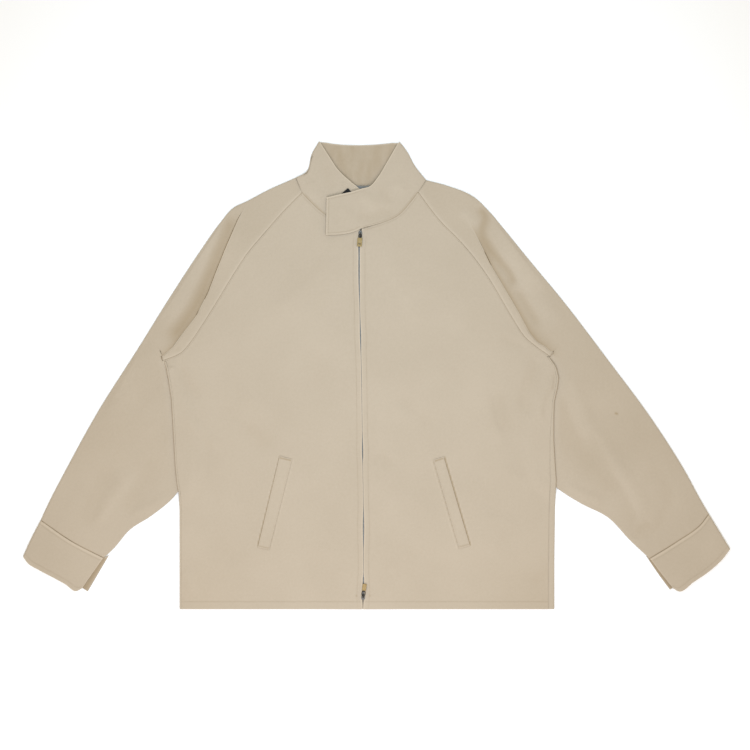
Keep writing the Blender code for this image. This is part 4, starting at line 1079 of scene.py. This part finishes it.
def back_collar():
    """The back of the collar, flat on the surface, from the viewer's right to left."""
    right, left = SIDES["left"], SIDES["right"]
    top = curve(BACK_COLLAR_TOP[::-1])
    corners = (right["collar_fold"][0], BACK_NECK[1], BACK_NECK[0], left["collar_fold"][0])
    feet = [lerp(corners[0], corners[1], 0.6)]
    feet += [lerp(corners[1], corners[2], step / 8) for step in range(9)]
    feet = np.array([*feet, lerp(corners[3], corners[2], 0.6)])
    columns = []
    for number in np.linspace(0, len(feet) - 1, 61):
        foot = np.array([np.interp(number, range(len(feet)), feet[:, axis]) for axis in (0, 1)])
        share = (number + 1) / (len(feet) + 1)
        bow = collar_bow(right, RISES) * max(0.0, 1 - 3 * share) ** 2
        bow = bow + collar_bow(left, RISES) * max(0.0, 3 * share - 2) ** 2
        columns.append(at_level(lerp(foot, top(share), RISES[:, None]) + bow, FLAT_COLLAR))
    return columns


def raise_tab(column):
    x = column[:, 0]
    crossed = np.interp(x, (CROSSED, CROSSED_END), (TAB_HEIGHT, CROSSED_HIGH))
    share = smooth((x - CROSSED_END) / (TAB_CLEAR - CROSSED_END))
    target = np.where(x < CROSSED_END, crossed, lerp(CROSSED_HIGH, column[:, 2], share))
    column[:, 2] = np.maximum(column[:, 2], target)


def collar_relief(x, up, rise, end_distance, on_tab):
    """Soft dents, the turned edges and the rows of stitches of the upper layer."""
    folds, painted_fold_light = crease_heights(COLLAR_CREASES, x, up)
    high = folds + 0.30 * rumple(x, up, 26.0, 5.0)
    from_top, from_foot = (1 - rise) * COLLAR_HEIGHT, rise * COLLAR_HEIGHT
    high *= smooth(from_top / 8.0) * smooth(from_foot / 8.0) * 0.9 + 0.1
    high -= 0.35 * bump_at(from_foot, 0.8) - 0.12 * bump_at(from_top, 1.6)
    high -= 0.18 * bump_at(from_foot - SEAM_STITCH, 0.6)
    high += 0.08 * puckers(from_foot - SEAM_STITCH, x, 4.0, 6.0)
    high -= 0.18 * bump_at(end_distance, 0.9) + 0.18 * bump_at(end_distance - TAB_STITCH, 0.7)
    high -= 0.18 * bump_at(from_foot - TAB_STITCH, 0.7) * on_tab
    high -= 0.18 * bump_at(from_top - TAB_STITCH, 0.7) * on_tab
    at_neck = 1.0 - 0.7 * smooth((up - 660.0) / 8.0)
    # Painted light: fold shade and highlight, a painted highlight along the top edge and along the
    # ends
    painted_light_and_marks = 0.35 * painted_fold_light + 1.3 * bump_at(from_top, 1.3) + 1.0 * bump_at(end_distance, 1.4)
    under_tab = bump_at(x, 30.0)
    # on the tab, a painted highlight along its foot; elsewhere painted shadow along the foot,
    # weaker under the tab
    foot_painted_light = np.where(on_tab > 0.5, 1.0, -0.9 * at_neck * (1 - under_tab))
    painted_light_and_marks += foot_painted_light * bump_at(from_foot, 1.0)
    # painted shade in the stitch lines
    painted_light_and_marks -= 0.25 * bump_at(from_foot - SEAM_STITCH, 0.7) * (1 - on_tab) * at_neck
    painted_light_and_marks -= 0.3 * on_tab * sum(bump_at(distance - TAB_STITCH, 0.8)
                               for distance in (from_foot, end_distance, from_top))
    return high, painted_light_and_marks


def make_collar():
    """One band: throat tab, one front, round the back of the neck, other front."""
    tab_top, tab_foot = curve(TAB_TOP), curve(TAB_FOOT)
    tab_columns = [at_level(lerp(tab_foot(share), tab_top(share), RISES[:, None]), TAB_HEIGHT)
                   for share in 1.0 - np.array(TAB_STEPS) / TAB_LENGTH]
    near = tab_columns + front_collar(SIDES["left"])
    for column in near:
        raise_tab(column)
    far = front_collar(SIDES["right"])[::-1]
    points = np.array(near + collar_fold(SIDES["left"]) + back_collar()
                      + collar_fold(SIDES["right"])[::-1] + far)
    rise = np.broadcast_to(RISES[None], points.shape[:2])
    end = np.full(points.shape[:2], 200.0)
    on_tab = np.zeros(points.shape[:2])
    tab = slice(len(tab_columns))
    end[tab] = np.abs(points[tab, :, 0] - points[0, :, 0])
    end[-20:] = np.abs(points[-20:, :, 0] - points[-1, :, 0])
    on_tab[tab] = 1.0
    relief, painted_light_and_marks = collar_relief(points[..., 0], points[..., 1], rise, end, on_tab)
    weight, inside = np.zeros(len(points)), np.zeros(len(points))
    weight[:len(near)] = smooth((len(near) - 1 - np.arange(len(near))) / 8.0)
    weight[-len(far):] = smooth(np.arange(len(far)) / 8.0)
    points[..., 2] += relief * weight[:, None]
    # painted shade on the inside of the collar, uneven along soft folds
    inside[len(near) + 4:-len(far) - 4] = INSIDE_SHADE
    folds = rumple(points[..., 0], points[..., 1] * 0.3, 15.0, 9.0)
    painted_light_and_marks -= inside[:, None] * (1.0 + 0.55 * folds)
    points = pull_in(points)
    cloth_piece("collar", [(points, cut_places(points, 0)[..., ::-1], painted_light_and_marks)],
                COLLAR_WALL)


# ---------------------------------------------------------------- pockets and zip
WELT_WIDTH, WELT_LENGTH, WELT_STITCH, WELT_LIFT = 18.0, 150.0, 2.4, 0.35
WELT_SIDE_STEPS, WELT_END_STEPS = (0.0, 0.35, 0.8, 1.4, 2.0), (0.0, 0.35, 0.8, 1.4, 2.4)
BACK_TOP = CLOTH
SLIDER_LOW, SLIDER_PLATE = BACK_TOP + 0.3, 1.0
TAPE_MIDDLE = SLIDER_LOW + SLIDER_PLATE + 0.3 + TAPE_WALL / 2
TAPE_ENDS, TAPE_EDGE, FLY_GAP = (7.0, 602.0), 12.0, 2.4
TOOTH_PITCH, TOOTH_REACH, TOOTH_SIZE = 2.6, 0.62, (2.6, 1.15, 1.1)
TEETH_ENDS = (29.0, 591.0)


def height_on(name, x, up):
    """Middle of a fine piece's wall at one place, in millimetres."""
    hit = TREES[name].ray_cast(Vector((x, up - HALF_HEIGHT, 60)) * MM, Vector((0, 0, -1)))
    return hit[0].z / MM if hit[0] is not None else None


def make_pocket(side):
    corners = side["pocket"]
    across = spaced(WELT_WIDTH, 1.6, WELT_SIDE_STEPS, WELT_SIDE_STEPS)
    along = spaced(WELT_LENGTH, 2.6, WELT_END_STEPS, WELT_END_STEPS)
    ends = [lerp(corners[low], corners[high], along[:, None])[:, None]
            for low, high in ((0, 3), (1, 2))]
    flat = lerp(*ends, across[None, :, None])
    from_side = np.minimum(across, 1 - across) * WELT_WIDTH
    edge = np.minimum(from_side[None], np.minimum(along, 1 - along)[:, None] * WELT_LENGTH)
    high = front_height(side, flat[..., 0], flat[..., 1]) + CLOTH / 2 + CLEAR + WELT_WALL / 2
    high += WELT_LIFT - 0.22 * bump_at(edge, 0.8) - 0.06 * bump_at(edge - 1.6, 0.5)
    points, cut, painted_light_and_marks = plain(pull_in(np.dstack((flat, high))))
    bars = 0.9 * bump_at((1 - along) * WELT_LENGTH - 2.4, 0.9)
    bars += 0.45 * bump_at(along * WELT_LENGTH - 2.2, 0.8)
    # painted highlight along the welt's edges, painted shade in its stitch line
    painted_light_and_marks += 0.5 * bump_at(edge, 0.9) - 0.15 * bump_at(edge - 1.6, 0.6)
    painted_light_and_marks -= bars[:, None] * smooth(from_side / 2.0)[None]
    cloth_piece("pocket_welt_" + side["name"], [(points, cut, painted_light_and_marks)],
                WELT_WALL)


def make_tape(side):
    name = "zip_tape_" + side["name"]
    up = np.linspace(*TAPE_ENDS, 240)[:, None]
    across = np.array((0.0, 0.3, 0.8, 1.6, 3.2, 6.0, 9.0, 11.2, TAPE_EDGE))
    x = zip_x(up) + side["sign"] * (FLY_GAP / 2 + across)
    high = TAPE_MIDDLE + 0.06 * np.sin(up / 9.0) * (across / TAPE_EDGE)
    points = np.stack(np.broadcast_arrays(x, up, high), -1)
    piece = add_piece(name + "_woven", grid_mesh(name, [plain(points)]), "tape")
    give_wall(piece, TAPE_WALL)
    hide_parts(name)


def shaped(size):
    """A matrix that gives a unit shape its size in millimetres."""
    return Matrix.Diagonal((*(length * MM for length in size), 1))


def make_teeth():
    """Two rows of teeth, one on each tape, set half a pitch apart."""
    builder = bmesh.new()
    for number in range(int((TEETH_ENDS[1] - TEETH_ENDS[0]) / (TOOTH_PITCH / 2))):
        up = TEETH_ENDS[0] + number * TOOTH_PITCH / 2
        sign = 1 if number % 2 else -1
        centre = Matrix.Translation(place((zip_x(up) + sign * TOOTH_REACH, up, TAPE_MIDDLE)))
        bmesh.ops.create_cube(builder, size=1.0, matrix=centre @ shaped(TOOTH_SIZE))
    bmesh.ops.bevel(builder, geom=builder.edges[:], offset=0.22 * MM, segments=1, profile=0.5,
                    affect="EDGES", material=-1)
    add_piece("zip_teeth", finish_mesh(builder, "zip_teeth"), "teeth")


# ----------------------------------------------------------------------- stitches
STITCH_PITCH, STITCH_RISE = 3.1, 0.04
STITCH = (1.15, 0.26, 0.20)       # half length, half width, half height
FLY_END = 596.0


def offset_line(points, distance, count=200):
    """A line beside another one, to its left."""
    line = sampled(points, count)
    ways = unit(np.gradient(line, axis=0))
    return line + np.column_stack((-ways[:, 1], ways[:, 0])) * distance


def sew(builder, line, panel, wall, trim=(0.0, 0.0)):
    """Lay stitches along a line, each a short bowed thread sunk into the cloth."""
    lengths = lengths_along(line)
    for middle in np.arange(trim[0] + STITCH_PITCH / 2, lengths[-1] - trim[1], STITCH_PITCH):
        ends = []
        for spot in (middle - STITCH[0], middle + STITCH[0]):
            flat = [np.interp(spot, lengths, line[:, axis]) for axis in (0, 1)]
            high = height_on(panel, *flat)
            if high is not None:
                ends.append(place((*flat, high + wall / 2 + STITCH_RISE)))
        if len(ends) == 2:
            turn = (ends[1] - ends[0]).to_track_quat("X", "Z").to_matrix().to_4x4()
            matrix = Matrix.Translation((ends[0] + ends[1]) / 2) @ turn @ shaped(STITCH)
            bmesh.ops.create_icosphere(builder, subdivisions=1, radius=1.0, matrix=matrix)


def thread_piece(name, rows):
    """One piece from rows of stitches, each with its line, panel, wall and trimmed ends."""
    builder = bmesh.new()
    for row in rows:
        sew(builder, *row)
    mesh = finish_mesh(builder, name, soft=True)
    mesh.uv_layers.new(name="cut")
    add_piece(name, mesh, "thread")


def sew_body():
    rows = []
    for side in SIDES.values():
        sign = side["sign"]
        up = np.linspace(HEM_STITCH, FLY_END, 200)
        fly = np.column_stack((zip_x(up) + sign * (fly_gap(up) + FLY_STITCH), up))
        hem = np.linspace(zip_x(0) + sign * 4, side["side"][0][0] - sign * 11, 80)
        lines = (offset_line(side["raglan"], SEAM_STITCH * sign), fly, at_level(hem, HEM_STITCH))
        rows += [(line, "front_" + side["name"], CLOTH) for line in lines]
    thread_piece("stitches_body", rows)


def sew_collar():
    rows = []
    for side in SIDES.values():
        above = offset_line(side["neck"], -SEAM_STITCH * side["sign"])
        if side["name"] == "right":
            above = above[above[:, 0] < TAB_END]
        below = offset_line(side["neck"], NECK_STITCH * side["sign"])
        rows += [(above, "collar", COLLAR_WALL, (4, 2)),
                 (below, "front_" + side["name"], CLOTH, (6, 6))]
    foot, top = offset_line(TAB_FOOT, -TAB_STITCH), offset_line(TAB_TOP, TAB_STITCH)
    end = np.linspace(top[-1], foot[-1], 60) + (TAB_STITCH, 0)
    rows += [(foot, "collar", COLLAR_WALL, (2, TAB_STITCH)),
             (top, "collar", COLLAR_WALL, (2, TAB_STITCH)), (end, "collar", COLLAR_WALL, (1, 1))]
    thread_piece("stitches_collar", rows)


def sew_cuffs():
    rows = []
    for side in SIDES.values():
        seam, edge = sampled(side["cuff_seam"], 80), sampled(side["cuff_edge"], 80)
        lines = [lerp(seam, edge, stitch / CUFF_HEIGHT) for stitch in CUFF_STITCHES]
        rows += [(line, "cuff_" + side["name"], COLLAR_WALL, (3, 4)) for line in lines]
    thread_piece("stitches_cuffs", rows)


def sew_pockets():
    rows = []
    for side in SIDES.values():
        corners = [np.array(corner, float) for corner in side["pocket"]]
        middle = sum(corners) / 4
        ring = [corner + unit(middle - corner) * WELT_STITCH for corner in corners]
        rows += [(np.linspace(near, far, 30), "pocket_welt_" + side["name"], WELT_WALL, (0.4, 0.4))
                 for near, far in zip(ring, ring[1:] + ring[:1])]
    thread_piece("stitches_pockets", rows)


# -------------------------------------------------------------- small flat pieces
PATCH_SIZE, PATCH_APEX, PATCH_TURN = 22.0, (-47, 673), 40.0
LABEL_SIZE, LABEL_TOP = (40.0, 20.0), (-21, 676.5)
PATCH_WALL, PLATE_EDGE = 1.0, 0.25
FRONT_TOP = CLOTH / 2 + BODY_LAYER + FLY_RISE + CLOTH / 2


def flat_piece(name, node_name, centre, size, turn, under, material, count):
    """A small piece of cloth, turned in its plane, just above the face under it."""
    angle = math.radians(turn)
    across = np.linspace(-0.5, 0.5, count[0])[None, :] * size[0]
    along = np.linspace(-0.5, 0.5, count[1])[:, None] * size[1]
    x = centre[0] + across * math.cos(angle) - along * math.sin(angle)
    up = centre[1] + across * math.sin(angle) + along * math.cos(angle)
    points = np.stack((x, up, np.full(x.shape, under + CLEAR + PATCH_WALL / 2)), -1)
    cut = np.stack(np.broadcast_arrays(across, along), -1) * MM
    mesh = grid_mesh(node_name, [(points, cut, np.zeros(x.shape))])
    piece = add_piece(name, mesh, material)
    give_wall(piece, PATCH_WALL, PLATE_EDGE)
    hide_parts(node_name)


def make_label():
    centre = (LABEL_TOP[0], LABEL_TOP[1] - LABEL_SIZE[1] / 2)
    flat_piece("neck_label_woven", "neck_label", centre, LABEL_SIZE, 0.0, BACK_TOP,
               "label", (20, 10))


def make_patch():
    reach = PATCH_SIZE / math.sqrt(2) * math.cos(math.radians(45 - PATCH_TURN))
    centre = (PATCH_APEX[0] + 1.0, PATCH_APEX[1] - reach)
    flat_piece("hook_patch", "collar_patch", centre, (PATCH_SIZE, PATCH_SIZE), PATCH_TURN,
               FRONT_TOP - CLOTH / 2 + COLLAR_WALL / 2, "hooks", (12, 12))


# -------------------------------------------------------------------------- pulls
PULL_HIGH = 7.4                    # middle of the pulls' wire and plates
PULL_WALL, PULL_EDGE, PULL_CORNER = 1.0, 0.22, 0.4
WIRE, CROWN_WIRE = 0.6, (1.0, 0.4)
NECK_SIZE, NECK_SHIFT, NECK_LEVELS = (0.7, 4.5), 1.5, (2.4, 4.0, 5.7)
SLOT_HALF = 1.9
# Slider's height, wire loop and plate, mm: x across and y from the pin to the end.
PULLS = {
    "top": {"middle": 598.5, "way": -1, "lean": -5.0,
            "wire": ((0, 0), (1.5, 0), (2.2, 0.7), (2.35, 2.6), (2.1, 3.9), (1.2, 4.4), (0, 4.4)),
            "rows": (4.95, 5.7, 9.0, 14.2, 15.4, 17.9, 19.0), "half": 3.95, "slot": 3},
    "foot": {"middle": 21.5, "way": 1, "lean": -8.0,
             "wire": ((0, 0), (1.2, 0), (1.9, 0.8), (2.7, 4.3), (2.0, 6.9), (1.2, 7.7), (0, 7.7)),
             "rows": (8.6, 9.4, 11.4, 14.2, 16.4, 18.4, 19.5), "half": 3.3, "slot": None},
}


def pull_spot(pull, across, away, high=PULL_HIGH):
    """A place on a pull that leans about its slider's crown."""
    angle = math.radians(pull["lean"])
    x = across * math.cos(angle) - away * pull["way"] * math.sin(angle)
    y = across * math.sin(angle) + away * pull["way"] * math.cos(angle)
    return zip_x(pull["middle"]) + x, pull["middle"] + y, high


def make_wire(key, pull):
    """The loop that hangs in the slider's crown and holds the plate."""
    line = sampled(pull["wire"], 20)
    line = np.concatenate((line, (line * (-1, 1))[::-1][1:]))
    ways = np.gradient(line, axis=0)
    ways[0] = ways[-1] = (1, 0)
    points = [[pull_spot(pull, spot[0] - way[1] * out, spot[1] + way[0] * out, PULL_HIGH + high)
               for out, high in round_places(9, WIRE, WIRE)] for spot, way in zip(line, unit(ways))]
    mesh = grid_mesh("wire_" + key, [plain(np.array(points))])
    add_piece("pull_" + key + "_wire", mesh, "dark", "pull_tab_" + key)


def make_plate(key, pull):
    """The brass plate, with rounded corners and, on one, a slot near its end."""
    name, half, rows = "pull_" + key + "_plate", pull["half"], pull["rows"]
    columns = (-half, -half + 1.0, -SLOT_HALF, SLOT_HALF, half - 1.0, half)
    builder = bmesh.new()
    spots = flat_grid(builder, len(rows), len(columns))
    for vertex, (row, column) in spots.items():
        across, away = columns[column], rows[row]
        if column in (0, len(columns) - 1) and row in (0, len(rows) - 1):
            across *= 1 - PULL_CORNER / half
            away += PULL_CORNER if row == 0 else -PULL_CORNER
        vertex.co = place(pull_spot(pull, across, away))
    if pull["slot"] is not None:
        slot = [face for face in builder.faces
                if min(spots[vertex] for vertex in face.verts) == (pull["slot"], 2)]
        bmesh.ops.delete(builder, geom=slot, context="FACES")
    bmesh.ops.recalc_face_normals(builder, faces=builder.faces)
    piece = add_piece(name, finish_mesh(builder, name), "brass", "pull_tab_" + key)
    give_wall(piece, PULL_WALL, PULL_EDGE)
    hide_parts("pull_" + key)


SLIDER_HIGH = FRONT_TOP + 0.3
# Half widths of a slider's plates, from the wide end to the tongue under the pull, mm.
SHIELD = ((-6.75, 1.1), (-5.8, 2.1), (-4.0, 3.0), (-1.0, 3.0), (2.0, 2.3), (4.6, 1.6),
          (6.2, 1.2), (6.75, 0.8))
CROWN_ARCH = ((-3.1, 6.45), (-3.1, 8.0), (-2.6, 8.6), (0, 8.7), (2.6, 8.6), (3.1, 8.0), (3.1, 6.45))


def make_slider(key, pull):
    """Two shield-shaped plates, the neck between them and the crown that holds the pull."""
    x, middle, way = zip_x(pull["middle"]), pull["middle"], pull["way"]
    plates = [[[(x + share * half, middle + way * along, low + SLIDER_PLATE / 2)
                for share in (-1.0, -0.5, 0.0, 0.5, 1.0)] for along, half in SHIELD]
              for low in (SLIDER_LOW, SLIDER_HIGH)]
    mesh = grid_mesh("plates_" + key, [plain(np.array(plate)) for plate in plates])
    piece = add_piece("slider_" + key + "_plates", mesh, "slider")
    give_wall(piece, SLIDER_PLATE, PLATE_EDGE)
    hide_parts("slider_" + key)
    arch = sampled(CROWN_ARCH, 19)
    rings = [[(x + across, middle + spot[0] - turn[1] * out, spot[1] + turn[0] * out)
              for across, out in round_places(13, *CROWN_WIRE)]
             for spot, turn in zip(arch, unit(np.gradient(arch, axis=0)))]
    neck = [[(x + across, middle - way * NECK_SHIFT + out, level)
             for across, out in round_places(13, *NECK_SIZE)] for level in NECK_LEVELS]
    crown = grid_mesh("crown_" + key, [plain(np.array(rings)), plain(np.array(neck))])
    add_piece("slider_" + key + "_crown", crown, "dark")


# --------------------------------------------------------------------- the studio
PIXEL = 1.6 * MM                   # size of one picture element of the view
VIEW_WIDTH = 750 * PIXEL
VIEW_CENTRE = (-1, 234)            # in picture elements, from the hem's middle
CAMERA_HEIGHT = 4.0
SENSOR = 36.0
# Each lamp: its place, where it points, its size, its power and its colour.
LAMPS = {
    "key": ((-0.08, -0.80, 1.2), (-0.05, -0.15, 0.0), 0.9, 12.9, (0.78, 0.85, 1.0)),
    "chest": ((0.0, 0.30, 0.8), (0.0, 0.15, 0.0), 0.6, 3.6, (0.53, 0.75, 1.0)),
}


def add_camera():
    camera = bpy.data.cameras.new("camera")
    camera.sensor_width = SENSOR
    camera.lens = SENSOR * CAMERA_HEIGHT / VIEW_WIDTH
    camera.clip_end = 50.0
    view = add_object("camera", camera)
    view.location = place((VIEW_CENTRE[0] * PIXEL / MM, VIEW_CENTRE[1] * PIXEL / MM,
                           CAMERA_HEIGHT / MM))
    bpy.context.scene.camera = view


def add_lamp(name, spot, target, size, power, colour):
    lamp = bpy.data.lights.new(name, "AREA")
    lamp.shape = "DISK"
    lamp.size, lamp.energy, lamp.color = size, power, colour
    light = add_object(name, lamp)
    light.location = spot
    light.rotation_euler = (Vector(target) - Vector(spot)).to_track_quat("-Z", "Y").to_euler()
    light.visible_camera = False


def add_studio():
    builder = bmesh.new()
    bmesh.ops.create_grid(builder, x_segments=8, y_segments=8, size=6.0)
    mesh = finish_mesh(builder, "floor")
    floor = add_object("floor", mesh)
    floor.location.z = -0.0004
    material, tree, shader = new_material("pale floor")
    feed(tree, shader, {"Base Color": (0.96, 0.96, 0.96, 1.0), "Roughness": 0.9,
                        "Emission Color": (1.0, 1.0, 1.0, 1.0), "Emission Strength": 0.06})
    mesh.materials.append(material)
    world = bpy.data.worlds.new("studio")
    world.use_nodes = True
    feed(world.node_tree, world.node_tree.nodes["Background"].inputs,
         {0: (0.695, 0.628, 0.516, 1.0), 1: 1.0})
    bpy.context.scene.world = world
    for name, settings in LAMPS.items():
        add_lamp(name, *settings)
    bpy.context.scene.view_settings.view_transform = "Standard"
    bpy.context.scene.view_settings.look = "None"


def make_jacket():
    make_back()
    for side in SIDES.values():
        make_front(side)
        make_sleeve(side)
        make_cuff(side)
        make_pocket(side)
        make_tape(side)
    make_collar()
    make_teeth()
    make_label()
    make_patch()
    for key, pull in PULLS.items():
        make_slider(key, pull)
        make_wire(key, pull)
        make_plate(key, pull)
    sew_body()
    sew_collar()
    sew_cuffs()
    sew_pockets()


add_camera()
add_studio()
make_jacket()
